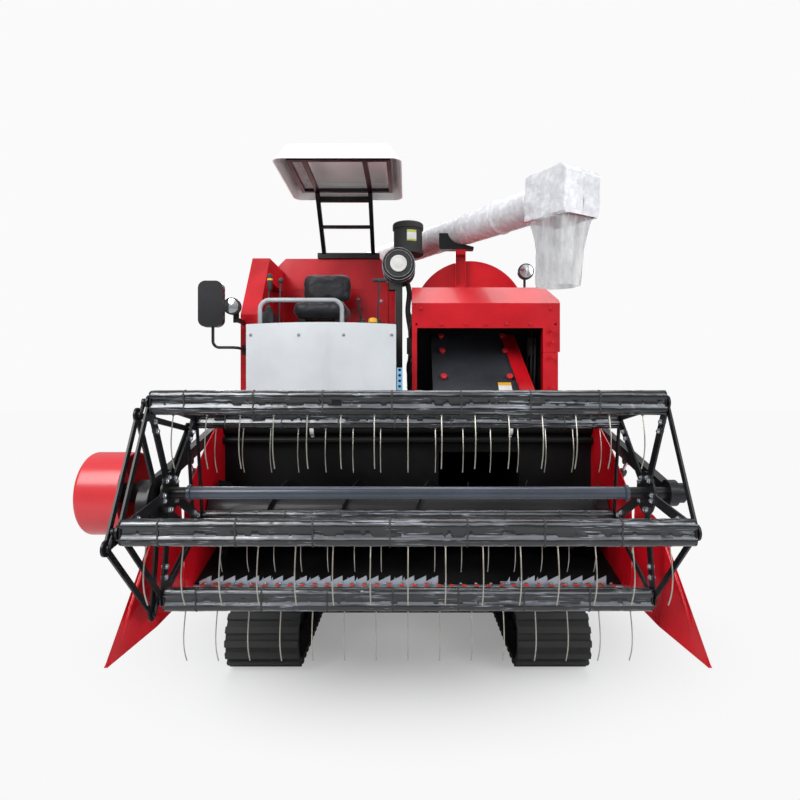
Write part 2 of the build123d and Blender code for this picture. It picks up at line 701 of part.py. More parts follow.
def work_lamps():
    """Round lamps: one beside the apron, one on the hood."""
    left = rod_y(-1000, -960, -1080, 2395, 51) + rod_y(-960, -925, -1080, 2395, 34)
    left += block(-1062, -1052, -1000 + 50, SIDE_PANEL_FRONT, 2300, 2330) + block(-1085, -1052, -950, -935, 2300, 2380)
    right = rod_y(-420, -380, 842, 2733, 55) + rod_y(-380, -345, 842, 2733, 36)
    right += rod_z(HOOD_Z[2], 2700, 842, -365, 9) + block(817, 867, -390, -340, HOOD_Z[2], HOOD_Z[2] + 8)
    return [left, right]


def engine():
    return block(-880, -260, -600, -180, DECK_Z, 1560)


def radiator():
    """Core in its frame beside the engine, facing outward."""
    frame = block(-1000, -900, -620, -170, DECK_Z, 1600)
    frame -= block(-1000, -970, -580, -210, DECK_Z + 60, 1560)
    core = frame
    for i in range(9):
        y = -570 + i * 41
        core += block(-990, -969, y, y + 12, DECK_Z + 60, 1560)
    return core


def radiator_door():
    """Air intake screen in the body's right side, on a vertical rear hinge."""
    hinge_x, hinge_y = RADIATOR_HINGE
    x0, x1 = hinge_x - 16, hinge_x
    y0, y1 = ENGINE_BAY_FRONT + 20, hinge_y - 22
    z0, z1 = DECK_Z + 20, 1600
    door = block(x0, x1, y0, y1, z0, z1) - block(x0, x1, y0 + 50, y1 - 50, z0 + 50, z1 - 50)
    columns, rows = 3, 6
    for i in range(1, columns):
        y = y0 + 50 + (y1 - y0 - 100) * i / columns
        door += block(x0 + 4, x1 - 4, y - 5, y + 5, z0 + 50, z1 - 50)
    for i in range(1, rows):
        z = z0 + 50 + (z1 - z0 - 100) * i / rows
        door += block(x0 + 4, x1 - 4, y0 + 50, y1 - 50, z - 5, z + 5)
    for z in (z0 + 120, z1 - 180):
        door += block(x0 + 4, x1 - 4, y1, hinge_y, z, z + 60)
        door += rod_z(z, z + 60, hinge_x - 8, hinge_y, 11)
        door -= rod_z(z, z + 60, hinge_x - 8, hinge_y, 6 + RUNNING_CLEARANCE)
    return door


def radiator_hinges():
    """Pins and their brackets on the bay's rear post."""
    hinge_x, hinge_y = RADIATOR_HINGE
    z0, z1 = DECK_Z + 20, 1600
    pieces = []
    for z in (z0 + 120, z1 - 180):
        pin = rod_z(z - 14, z + 74, hinge_x - 8, hinge_y, 6)
        for low in (z - 14, z + 62):
            pin += block(hinge_x - 14, PLATFORM_X[0], hinge_y - 8, hinge_y + 8, low, low + 12)
        pieces.append(pin)
    post = block(PLATFORM_X[0] - 12, PLATFORM_X[0], hinge_y - 20, hinge_y + 20, DECK_Z, 1700)
    for piece in pieces:
        post += piece
    return post


def fuel_tank():
    x0, x1, top = -1060, -800, 1120
    tank = block(x0, x1, 250, 1150, DECK_Z, top)
    tank = fillet(tank.edges().filter_by(Axis.Y), 40)
    tank += block(x0 + 20, x1 - 20, 300, 340, DECK_Z, 880) + block(x0 + 20, x1 - 20, 1060, 1100, DECK_Z, 880)
    return tank + rod_x(x0 - 18, x0 + 5, 400, top - 100, 45)


# ---- Thresher ----
def lift_recess():
    """The space that the feeder house swings in, inside the thresher's front."""
    y, z = LIFT_PIVOT
    radius = FEEDER_HALF + SWING_CLEARANCE
    slope = tan(radians(feeder_angle()))
    top = z + FEEDER_HALF / cos(radians(feeder_angle())) + SWING_CLEARANCE
    front = THRESHER_FRONT - 10
    points = [(front, top - (y - front) * slope), (y, top), (y, z - radius), (y - 140, DECK_Z - 10), (front, DECK_Z - 10)]
    # The duct's underside with the header right down.
    low = radians(feeder_angle() + LIFT_TRAVEL)
    foot_y, foot_z = y + sin(low) * radius, z - cos(low) * radius
    underside = [(y, z), (foot_y, foot_z), (y - 140, foot_z - (foot_y - y + 140) * tan(low)), (y - 140, z)]
    shape = polygon(points) + polygon(underside) + disc((y, z), radius)
    return along_x(shape, FEEDER_X[0] - TRUNNION_REACH, FEEDER_X[1] + TRUNNION_REACH)


def thresher_housing():
    x0, x1 = THRESHER_X
    outline = [(THRESHER_FRONT, DECK_Z), (THRESHER_FRONT, THRESHER_STEP_Z), (THRESHER_UPPER_FRONT, THRESHER_STEP_Z),
               (THRESHER_UPPER_FRONT, THRESHER_TOP), (THRESHER_REAR, THRESHER_TOP), (THRESHER_REAR, 1300),
               (THRESHER_REAR - 90, 1100), (THRESHER_REAR - 90, DECK_Z)]
    housing = side_profile(outline, x0, x1)
    housing -= lift_recess()
    y, z = LIFT_PIVOT
    for edge, direction in ((FEEDER_X[0] - TRUNNION_REACH, -1), (FEEDER_X[1] + TRUNNION_REACH, 1)):
        a, b = sorted((edge, edge + direction * TRUNNION_REACH))
        housing -= rod_x(a, b, y, z, TRUNNION_RADIUS + RUNNING_CLEARANCE)
    bay_y0, bay_y1, bay_z0, bay_z1 = SIDE_BAY
    housing -= block(x1 - SIDE_BAY_DEPTH, x1, bay_y0, bay_y1, bay_z0, bay_z1)
    # Pressed panels of the lower side and the back.
    for y0 in (80, 700, 1320):
        housing -= block(x1 - 8, x1, y0, y0 + 540, DECK_Z + 60, 1220)
    housing -= block(x0 + 80, x1 - 80, THRESHER_REAR - 98, THRESHER_REAR, DECK_Z + 60, 1080)
    return housing


def drive_pulleys():
    """Belt pulleys of the thresher's left side, in the bay behind the door."""
    wheels = []
    floor = BODY_LEFT - SIDE_BAY_DEPTH
    for y, z, r in ((330, 1950, 190), (900, 1560, 120), (1350, 1900, 150), (1780, 1480, 110)):
        wheel = rod_x(floor, floor + 14, y, z, 34) + rod_x(floor + 14, floor + 50, y, z, r)
        wheel -= rod_x(floor + 40, floor + 50, y, z, r - 22) - rod_x(floor + 40, floor + 50, y, z, 34)
        groove = rod_x(floor + 24, floor + 40, y, z, r + 1) - rod_x(floor + 24, floor + 40, y, z, r - 10)
        wheels.append(wheel - groove)
    return wheels


def side_door():
    """Large panel over the belt drive on the machine's left, hinged along its top edge."""
    y0, y1, z0, z1 = SIDE_BAY
    gap = DOOR_GAP
    x1 = BODY_LEFT
    door = block(x1 - DOOR_THICKNESS, x1, y0 + gap, y1 - gap, z0 + gap, z1 - 30)
    for i in range(3):
        y = y0 + 130 + i * 600
        door -= block(x1 - 6, x1, y, y + 460, z0 + 120, z1 - 160)
    door -= block(x1 - 12, x1, (y0 + y1) / 2 - 60, (y0 + y1) / 2 + 60, z0 + 40, z0 + 70)
    for y in (y0 + 200, y1 - 260):
        knuckle = rod_y(y, y + 60, x1 - 10, z1 - 18, 9)
        knuckle += block(x1 - 15, x1 - 5, y, y + 60, z1 - 34, z1 - 18)
        door += knuckle - rod_y(y, y + 60, x1 - 10, z1 - 18, 5 + RUNNING_CLEARANCE)
    return door


def side_door_pins():
    y0, y1, z0, z1 = SIDE_BAY
    pins = []
    for y in (y0 + 200, y1 - 260):
        pin = rod_y(y - 14, y + 74, BODY_LEFT - 10, z1 - 18, 5)
        for a in (y - 14, y + 64):
            pin += block(BODY_LEFT - 18, BODY_LEFT - 2, a, a + 10, z1 - 26, z1)
        pins.append(pin)
    return pins


def drum_cover():
    """Half-round cover over the threshing drum, with a flange along its foot."""
    outer = disc((DRUM_CENTRE_X, THRESHER_TOP), DRUM_RADIUS)
    keep = Pos(DRUM_CENTRE_X, THRESHER_TOP + DRUM_RADIUS / 2) * Rectangle(2 * DRUM_RADIUS + 60, DRUM_RADIUS)
    shape = outer & keep
    shape += Pos(DRUM_CENTRE_X, THRESHER_TOP + 10) * Rectangle(2 * DRUM_RADIUS + 50, 20)
    cover = along_y(shape, THRESHER_UPPER_FRONT, DRUM_REAR)
    rib = (disc((DRUM_CENTRE_X, THRESHER_TOP), DRUM_RADIUS + 10) - outer) & keep
    for y in (300, 900, 1500):
        cover += along_y(rib, y, y + 40)
    return cover


def front_hood():
    """Sheet hood over the intake, closed in front and open below."""
    x0, x1 = HOOD_X
    low, brow, top = HOOD_Z
    points = [(HOOD_FRONT, low), (HOOD_FRONT, brow), (HOOD_SLOPE_Y, top), (THRESHER_UPPER_FRONT, top),
              (THRESHER_UPPER_FRONT, low)]
    hood = side_profile(points, x0, x1)
    corner = [(x1 - 70, top + 1), (x1 + 1, top + 1), (x1 + 1, top - 110)]
    hood -= front_profile(corner, HOOD_FRONT - 1, THRESHER_UPPER_FRONT + 1)
    inner = [(HOOD_FRONT + SHEET, low), (HOOD_FRONT + SHEET, brow - 4), (HOOD_SLOPE_Y + 4, top - SHEET),
             (THRESHER_UPPER_FRONT, top - SHEET), (THRESHER_UPPER_FRONT, low)]
    hood -= side_profile(inner, x0 + SHEET, x1 - 90)
    lower = [(HOOD_FRONT + SHEET, low), (HOOD_FRONT + SHEET, brow - 60), (THRESHER_UPPER_FRONT, brow - 60),
             (THRESHER_UPPER_FRONT, low)]
    hood -= side_profile(lower, x1 - 91, x1 - SHEET)
    for x in (x0 + 30, x1 - 30):
        hood -= rod_y(HOOD_FRONT, HOOD_FRONT + SHEET, x, low + 26, 7)
    return hood


def hood_columns():
    """The posts under the hood's front corners."""
    x0, x1 = COLUMN_X
    low = HOOD_Z[0]
    left = block(x0, x1, HOOD_FRONT, HOOD_FRONT + 60, 2140, low)
    left += block(x0, BODY_LEFT, HOOD_FRONT, HOOD_FRONT + 60, DECK_Z, 2140 - 4)
    left += block(x0 + 6, BODY_LEFT - 6, HOOD_FRONT + 6, HOOD_FRONT + 54, 2130, 2150)
    right = block(HOOD_X[0], 60, HOOD_FRONT, HOOD_FRONT + 50, DECK_Z, low)
    return [left, right]


def intake_cover():
    """Raked cover plate over the feeder, with triangular cheeks back to the thresher."""
    x0, x1 = COVER_X
    y0, z0 = COVER_FOOT
    y1, z1 = THRESHER_UPPER_FRONT, COVER_HEAD_Z
    z1 = min(z1, HOOD_Z[0])
    cover = side_profile([(y0, z0), (y1, z1), (y1, z0)], x0, x1)
    cover -= side_profile([(y0 + 24, z0), (y1, z1 - 12), (y1, z0)], x0 + SHEET, x1 - SHEET)
    return cover


def belt_guard():
    """Slanting strip guard beside the intake cover."""
    top = (738, THRESHER_UPPER_FRONT - 16, 2307)
    foot = (815, -776, 1777)
    strip = bar(top, foot, 100, 10)
    strip += bar((top[0] + 45, top[1], top[2] - 20), (foot[0] + 45, foot[1], foot[2] - 20), 10, 46)
    return strip & block(600, 908, -900, THRESHER_UPPER_FRONT, 1500, HOOD_Z[0])


def auger_rest():
    """Post on the hood with the saddle that the stowed auger lies over."""
    z0, z1 = HOOD_Z[2], 2930
    post = block(REST_POST_X - 38, REST_POST_X + 38, REST_Y - 30, REST_Y + 20, z0, z1)
    post -= block(REST_POST_X - 32, REST_POST_X + 32, REST_Y - 30, REST_Y + 14, z0 + 60, z1 - 40)
    post += block(REST_POST_X - 70, REST_POST_X + 70, REST_Y - 30, REST_Y + 30, z0, z0 + 8)
    cx, cz = tube_centre_at(REST_Y)
    outline = [(cx - 162, z1), (cx - 162, cz - 20), (cx - 140, cz - 20), (cx - 112, z1 + 14), (cx + 90, z1 + 10), (cx + 90, z1)]
    saddle = front_profile(outline, REST_Y - 30, REST_Y + 20)
    return post + saddle


# ---- Grain tank ----
def grain_tank():
    """Sheet tank with a sloping hopper, a hatch in its top and four legs."""
    x0, x1 = TANK_X
    y0, y1 = TANK_Y
    z0, z1 = TANK_Z
    outer = front_profile([(x0, z0), (x0, z1), (x1, z1), (x1, z0), (x1 - 300, HOPPER_Z), (x1 - 480, HOPPER_Z)], y0, y1)
    w = TANK_WALL
    inner = front_profile([(x0 + w, z0 + 4), (x0 + w, z1 - w), (x1 - w, z1 - w), (x1 - w, z0 + 4),
                           (x1 - 304, HOPPER_Z + w), (x1 - 476, HOPPER_Z + w)], y0 + w, y1 - w)
    tank = outer - inner
    hx0, hx1, hy0, hy1 = HATCH
    tank -= block(hx0, hx1, hy0, hy1, z1 - w, z1)
    for lx in (x0, x1 - 50):
        for ly in (y0 + 60, y1 - 50):
            tank += block(lx, lx + 50, ly, ly + 50, DECK_Z, z0 + 20) - front_hopper(ly)
    return tank


def front_hopper(y):
    """The hopper's outside, to trim a leg that passes it."""
    x0, x1 = TANK_X
    return front_profile([(x0 + 1, TANK_Z[0]), (x1 - 1, TANK_Z[0]), (x1 - 300, HOPPER_Z), (x1 - 480, HOPPER_Z)],
                         y - 1, y + 51)


def tank_lid():
    """Hatch lid, hinged along its outer edge."""
    hx0, hx1, hy0, hy1 = HATCH
    z = TANK_Z[1]
    hinge_x, hinge_z = LID_HINGE
    lid = block(hx0 - 12, hx1 + 25, hy0 - 25, hy1 + 25, z + SEAT_GAP, z + 26)
    lid -= block(hx0, hx1, hy0, hy1, z + SEAT_GAP, z + 20)
    for y in (hy0 + 60, hy1 - 120):
        lid += block(hinge_x, hx0, y, y + 60, hinge_z - 4, hinge_z + 4)
        lid += rod_y(y, y + 60, hinge_x, hinge_z, 10)
        lid -= rod_y(y, y + 60, hinge_x, hinge_z, 5 + RUNNING_CLEARANCE)
    handle_x = hx1 - 60
    lid += tube([(handle_x, 400, z + 26), (handle_x, 400, z + 60), (handle_x, 550, z + 60), (handle_x, 550, z + 26)], 6, 14)
    return lid


def lid_pins():
    hinge_x, hinge_z = LID_HINGE
    pins = []
    for y in (HATCH[2] + 60, HATCH[3] - 120):
        pin = rod_y(y - 14, y + 74, hinge_x, hinge_z, 5)
        for a in (y - 14, y + 64):
            pin += block(hinge_x - 8, hinge_x + 8, a, a + 10, TANK_Z[1], hinge_z + 6)
        pins.append(pin)
    return pins


def unload_riser():
    """Vertical auger tube behind the tank, with its gear case at the foot."""
    x, y = SLEW_AXIS
    riser = rod_z(HOPPER_Z, RISER_TOP, x, y, RISER_RADIUS)
    riser += rod_z(RISER_TOP - 30, RISER_TOP, x, y, RISER_RADIUS + 30)
    riser += block(x - 130, x + 130, TANK_Y[1], y + 110, HOPPER_Z, HOPPER_Z + 220)
    for z in (1760, 2600):
        riser += block(x - 50, x + 50, TANK_Y[1], y, z, z + 60)
    return riser


def tube_angles():
    """Heading and dip of the stowed unloading tube, in degrees."""
    dx = TUBE_END[0] - SLEW_AXIS[0]
    dy = TUBE_END[1] - SLEW_AXIS[1]
    dz = TUBE_END[2] - TUBE_PIVOT_Z
    run = hypot(dx, dy)
    return degrees(atan2(dy, dx)), degrees(atan2(-dz, run)), hypot(run, dz)


def tube_place():
    heading, dip, _ = tube_angles()
    return Pos(SLEW_AXIS[0], SLEW_AXIS[1], TUBE_PIVOT_Z) * Rot(0, 0, heading) * Rot(0, dip, 0)


def tube_centre_at(y):
    share = (y - SLEW_AXIS[1]) / (TUBE_END[1] - SLEW_AXIS[1])
    x = SLEW_AXIS[0] + (TUBE_END[0] - SLEW_AXIS[0]) * share
    return x, TUBE_PIVOT_Z + (TUBE_END[2] - TUBE_PIVOT_Z) * share


def unload_turret():
    """Slewing head on the riser, with two ears for the tube's trunnions."""
    x, y = SLEW_AXIS
    heading = tube_angles()[0]
    turret = rod_z(RISER_TOP + SEAT_GAP, RISER_TOP + 60, 0, 0, RISER_RADIUS + 30)
    turret += rod_z(RISER_TOP + 60, TUBE_PIVOT_Z - 114, 0, 0, RISER_RADIUS - 10)
    for side in (-1, 1):
        a, b = sorted((side * 118, side * 132))
        ear = block(-60, 60, a, b, RISER_TOP + 40, TUBE_PIVOT_Z)
        ear += Pos(0, (a + b) / 2, TUBE_PIVOT_Z) * Rot(90, 0, 0) * Cylinder(60, 14)
        turret += ear - Pos(0, (a + b) / 2, TUBE_PIVOT_Z) * Rot(90, 0, 0) * Cylinder(25 + RUNNING_CLEARANCE, 14)
    return Pos(x, y, 0) * Rot(0, 0, heading) * turret


def unload_tube():
    """Long auger tube on its trunnions, closed at the rear by a domed cap."""
    length = tube_angles()[2]
    body = rod_x(0, length, 0, 0, TUBE_RADIUS) + Sphere(TUBE_RADIUS)
    body += Rot(90, 0, 0) * Cylinder(25, 262)
    body += rod_x(112, 132, 0, 0, TUBE_RADIUS + 12) + rod_x(length - 400, length - 384, 0, 0, TUBE_RADIUS + 10)
    return tube_place() * body


def unload_spout():
    """Downward elbow on the tube's end, open below."""
    length = tube_angles()[2]
    x0, x1 = length, length + 330
    shell = block(x0, x1, -130, 130, -140, 120)
    shell = fillet(shell.edges().filter_by(Axis.Y).group_by(Axis.Z)[-1], 55)
    hollow = block(x0 + 10, x1 - 10, -120, 120, -141, 110)
    shell -= fillet(hollow.edges().filter_by(Axis.Y).group_by(Axis.Z)[-1], 45)
    return tube_place() * shell


def spout_film():
    """Plain solid of the film sock that hangs from the spout."""
    length = tube_angles()[2]
    rim = -140 - SEAT_GAP
    return tube_place() * block(length + 8, length + 322, -128, 128, rim - 400, rim)


# ---- Header ----
def feeder_angle():
    return degrees(atan2(LIFT_PIVOT[1] - FEEDER_MOUTH_Z, LIFT_PIVOT[0] - REAR_WALL_Y))


def feeder_outline(inset):
    """Side outline of the feeder house: straight duct with a round rear end about the hinge."""
    y, z = LIFT_PIVOT
    angle = radians(feeder_angle())
    half = FEEDER_HALF - inset
    across = (-sin(angle) * half, cos(angle) * half)
    rise = half / cos(angle)
    points = [(REAR_WALL_Y, FEEDER_MOUTH_Z + rise), (y + across[0], z + across[1]),
              (y - across[0], z - across[1]), (REAR_WALL_Y, FEEDER_MOUTH_Z - rise)]
    return polygon(points) + disc((y, z), half)


def feeder_house():
    """Sheet duct from the trough to the drum, open at both ends, with trunnions and cylinder lugs."""
    x0, x1 = FEEDER_X
    w = FEEDER_WALL
    duct = along_x(feeder_outline(0), x0, x1) - along_x(feeder_outline(w), x0 + w, x1 - w)
    y, z = LIFT_PIVOT
    duct -= block(x0 + w, x1 - w, y + 40, y + 400, z - 110, z + 150)
    duct += rod_x(x0 - TRUNNION_REACH * 2, x0 + w, y, z, TRUNNION_RADIUS)
    duct += rod_x(x1 - w, x1 + TRUNNION_REACH * 2, y, z, TRUNNION_RADIUS)
    foot = FEEDER_MOUTH_Z - FEEDER_HALF / cos(radians(feeder_angle()))
    under = foot + (LIFT_EYE[0] - REAR_WALL_Y) * tan(radians(feeder_angle()))
    duct += clevis(LIFT_CYLINDER_X, LIFT_EYE, under + 4, 35, LIFT_PIN)
    return duct


def trough_normal():
    """Direction from the auger's axis to where the floor leaves the trough's round."""
    dy, dz = KNIFE[0] + 15 - AUGER[0], KNIFE[1] + 12 - AUGER[1]
    reach = hypot(dy, dz)
    angle = atan2(dz, dy) + acos(TROUGH_OUTER / reach)
    return cos(angle), sin(angle)


def trough_section(radius):
    """Region above the floor and before the rear wall, for a trough of one radius."""
    ny, nz = trough_normal()
    start = (KNIFE[0] + 15 - ny * (TROUGH_OUTER - radius), KNIFE[1] + 12 - nz * (TROUGH_OUTER - radius))
    leave = (AUGER[0] + ny * radius, AUGER[1] + nz * radius)
    rear = (AUGER[0] + radius, AUGER[1])
    mid_angle = (atan2(nz, ny)) / 2
    middle = (AUGER[0] + radius * cos(mid_angle), AUGER[1] + radius * sin(mid_angle))
    top = TOP_TUBE_Z
    return start, leave, middle, rear, (rear[0], top)


def header_trough():
    """Floor, round trough and rear wall in one sheet, with the top tube and the cross rail."""
    inner, outer = trough_section(TROUGH_INNER), trough_section(TROUGH_OUTER)
    half = HEADER_HALF - SIDE_PLATE
    sheet = make_face(Curve() + [
        Line(outer[0], outer[1]), ThreePointArc(outer[1], outer[2], outer[3]), Line(outer[3], outer[4]),
        Line(outer[4], inner[4]), Line(inner[4], inner[3]), ThreePointArc(inner[3], inner[2], inner[1]),
        Line(inner[1], inner[0]), Line(inner[0], outer[0])])
    trough = along_x(sheet, -half, half)
    w = FEEDER_WALL
    low = FEEDER_MOUTH_Z - FEEDER_HALF + 2 * w
    high = FEEDER_MOUTH_Z + FEEDER_HALF - 2 * w
    trough -= block(FEEDER_X[0] + 2 * w, FEEDER_X[1] - 2 * w, REAR_WALL_Y - 60, REAR_WALL_Y + 10, low, high)
    trough += rod_x(-half, half, REEL_PIVOT[0], REEL_PIVOT[1], TOP_TUBE_RADIUS)
    rail_y, rail_z, rail_r = CROSS_RAIL
    trough += rod_x(-half, half, rail_y, rail_z, rail_r)
    for x in (-900, -300, 60, 800):
        trough += block(x - 15, x + 15, rail_y, REAR_WALL_Y - 2, rail_z - 12, rail_z + 12)
    return trough


def side_plate():
    """One end of the header with its crop divider: plate, bearing hole and pointed folded sheet."""
    half = HEADER_HALF
    rear_y = REAR_WALL_Y
    ny, nz = trough_normal()
    leave = (AUGER[0] + ny * TROUGH_OUTER, AUGER[1] + nz * TROUGH_OUTER)
    outline = [(-1640, KNIFE[1] - 14), (KNIFE[0] + 15, KNIFE[1] - 14), leave, (AUGER[0] + 150, AUGER[1] - 158),
               (rear_y, AUGER[1]), (rear_y, TOP_TUBE_Z + 45), (-1120, TOP_TUBE_Z + 45), (-1350, 1560), (-1640, 1330)]
    plate = side_profile(outline, half - SIDE_PLATE, half)
    plate -= rod_x(half - SIDE_PLATE, half, AUGER[0], AUGER[1], AUGER_SHAFT + RUNNING_CLEARANCE)
    plate += rod_x(half - SIDE_PLATE, REEL_ARM_X[1] + 12, *REEL_PIVOT, REEL_PIVOT_PIN)
    plate += rod_x(half, REEL_ARM_X[0] - 5, *REEL_PIVOT, 36)
    plate += rod_x(half, 1142, *REEL_BASE, 18) + rod_x(1142, 1178, *REEL_BASE, REEL_PIN)
    return plate + divider()


def divider():
    """Three ruled triangular sections from the side plate to the tip, hollow from below."""
    half = HEADER_HALF
    tx, ty, tz = DIVIDER_TIP

    def section(y, peak_x, peak_z, inner_x, outer_x, base_z):
        face = polygon([(inner_x, base_z), (outer_x, base_z), (peak_x, peak_z)])
        return Plane.XZ.offset(-y) * face

    wall = half - SIDE_PLATE
    rows = [(-1640, half + 14, 1330, wall, half + 95, KNIFE[1] - 14), (-1960, half + 25, 1215, wall, half + 88, 822),
            (ty, tx, tz + 14, tx - 7, tx + 7, tz)]
    solid = loft([section(*row) for row in rows], ruled=True)
    inner = [(-1640 + 2, half + 14, 1308, wall + 5, half + 80, KNIFE[1] - 16),
             (-1960, half + 25, 1188, wall + 5, half + 74, 818), (ty + 60, tx - 6, tz + 16, tx - 9, tx - 3, tz - 4)]
    return solid - loft([section(*row) for row in inner], ruled=True)


def cutter_bar():
    """Knife and its pointed guards on the floor's front edge, with the saw-toothed strips above."""
    y, z = KNIFE
    half = HEADER_HALF - SIDE_PLATE
    beam = block(-half, half, y - 8, y + 15, z - 12, z + 12)
    first = -GUARD_PITCH * (GUARD_COUNT - 1) / 2
    guard = polygon([(-11, 0), (11, 0), (7, -30), (2, -GUARD_LENGTH), (-2, -GUARD_LENGTH), (-7, -30)])
    tooth = polygon([(-30, 0), (30, 0), (8, -44), (-8, -44)])
    for i in range(GUARD_COUNT):
        x = first + i * GUARD_PITCH
        beam += extrude(Pos(x, y - 8, z - 12) * guard, 14, dir=(0, 0, 1))
        if i < GUARD_COUNT - 1:
            beam += extrude(Pos(x + GUARD_PITCH / 2, y - 8, z + 2) * tooth, 4, dir=(0, 0, 1))
    return beam + saw_strip(-900, 130) + saw_strip(480, 860)


def saw_strip(x0, x1):
    """Upright strip with ratchet teeth, standing on the knife's beam."""
    y, z = KNIFE[0] + 6, KNIFE[1] + 12
    points = [(x0, z), (x0, z + 18)]
    x = x0
    while x + SAW_PITCH <= x1:
        points += [(x + SAW_PITCH * 0.75, z + 18), (x + SAW_PITCH, z + 42)]
        x += SAW_PITCH
        if x + SAW_PITCH <= x1:
            points.append((x + 1, z + 18))
    points.append((x, z))
    return front_profile(points, y, y + 5)


def header_auger():
    """Drum with opposed flights that gather to the feeder, and fingers before it."""
    y, z = AUGER
    half = HEADER_HALF - SIDE_PLATE - 12
    drum = rod_x(-half, half, y, z, AUGER_DRUM)
    drum += rod_x(-HEADER_HALF - 40, HEADER_HALF + 40, y, z, AUGER_SHAFT)
    drum += flight(-half + 20, FEEDER_X[0] + 60, 1) + flight(half - 20, FEEDER_X[1] - 60, -1)
    for i in range(3):
        x = 250 + i * 90
        for turn in range(2):
            finger = Pos(x, y, z) * Rot(180 * turn + 70 * i - 60, 0, 0) * Pos(0, 0, 165) * Cylinder(6, 60)
            drum += finger
    return drum


def flight(start, end, hand):
    """Helical flight as a ruled loft of radial strips every 30 degrees."""
    y, z = AUGER
    run = abs(end - start)
    steps = int(run / FLIGHT_PITCH * 12)
    direction = 1 if end > start else -1
    strips = []
    for i in range(steps + 1):
        x = start + direction * FLIGHT_PITCH * i / 12
        place = Pos(x, y, z) * Rot(-30 * i * hand, 0, 0)
        strip = Plane.XZ * (Pos(0, (AUGER_DRUM + AUGER_FLIGHT) / 2 - 8) * Rectangle(5, AUGER_FLIGHT - AUGER_DRUM + 16))
        strips.append(place * strip)
    return loft(strips, ruled=True)


# ---- Reel ----
def bat_angles():
    return [FRONT_BAT_ANGLE + i * 360 / BAT_COUNT for i in range(BAT_COUNT)]


def bat_centre(angle):
    a = radians(angle)
    return (REEL_AXLE[0] - REEL_PITCH_RADIUS * cos(a), REEL_AXLE[1] + REEL_PITCH_RADIUS * sin(a))


def star_sketch(centre, hub, width):
    """Five arms and the polygon of flat bars that joins their tips, in (y, z)."""
    shape = disc(centre, hub)
    tips = []
    for angle in bat_angles():
        y, z = bat_centre(angle)
        y += centre[0] - REEL_AXLE[0]
        z += centre[1] - REEL_AXLE[1]
        tips.append((y, z))
        shape += disc((y, z), 30)
        middle = ((y + centre[0]) / 2, (z + centre[1]) / 2)
        turn = degrees(atan2(z - centre[1], y - centre[0]))
        shape += Pos(*middle) * Rot(0, 0, turn) * Rectangle(REEL_PITCH_RADIUS, width)
    for i, a in enumerate(tips):
        b = tips[(i + 1) % BAT_COUNT]
        length = hypot(b[0] - a[0], b[1] - a[1])
        turn = degrees(atan2(b[1] - a[1], b[0] - a[0]))
        shape += Pos((a[0] + b[0]) / 2, (a[1] + b[1]) / 2) * Rot(0, 0, turn) * Rectangle(length, 26)
    return shape


def reel():
    """Axle tube with a five-armed spider and rim at each end."""
    sketch = star_sketch(REEL_AXLE, 95, 44)
    for angle in bat_angles():
        sketch -= disc(bat_centre(angle), STUB_RADIUS + PIVOT_CLEARANCE)
    end = along_x(sketch, SPIDER_X, SPIDER_X + SPIDER_THICKNESS)
    axle = rod_x(-REEL_ARM_X[1] - 8, REEL_ARM_X[1] + 8, *REEL_AXLE, REEL_AXLE_RADIUS)
    return axle + end + mirror_x(end)


def reel_eccentric():
    """Offset star on the machine's right that keeps the bats upright."""
    centre = (REEL_AXLE[0] + ECCENTRIC_OFFSET[0], REEL_AXLE[1] + ECCENTRIC_OFFSET[1])
    sketch = star_sketch(centre, ECCENTRIC_HUB + 26, 34)
    sketch -= disc(centre, ECCENTRIC_HUB + PIVOT_CLEARANCE)
    for angle in bat_angles():
        y, z = bat_centre(angle)
        sketch -= disc((y + ECCENTRIC_OFFSET[0], z + ECCENTRIC_OFFSET[1]), CRANK_PIN_RADIUS + PIVOT_CLEARANCE)
    return along_x(sketch, -ECCENTRIC_X - SPIDER_THICKNESS, -ECCENTRIC_X)


def tine_sketch():
    """Side outline of one spring tine below its tube: bowed forward, tip raked to the rear."""
    top = -BAT_TUBE_OFFSET - BAT_TUBE_RADIUS + 4
    low = -BAT_TUBE_OFFSET - BAT_TUBE_RADIUS - TINE_LENGTH
    rows = [(0.0, top), (-TINE_BOW, top + (low - top) * 0.42), (-TINE_BOW * 0.5, top + (low - top) * 0.72),
            (TINE_RAKE, low)]
    front = [(y - TINE_SIZE / 2, z) for y, z in rows]
    back = [(y + TINE_SIZE / 2, z) for y, z in rows]
    return polygon(front + back[::-1])


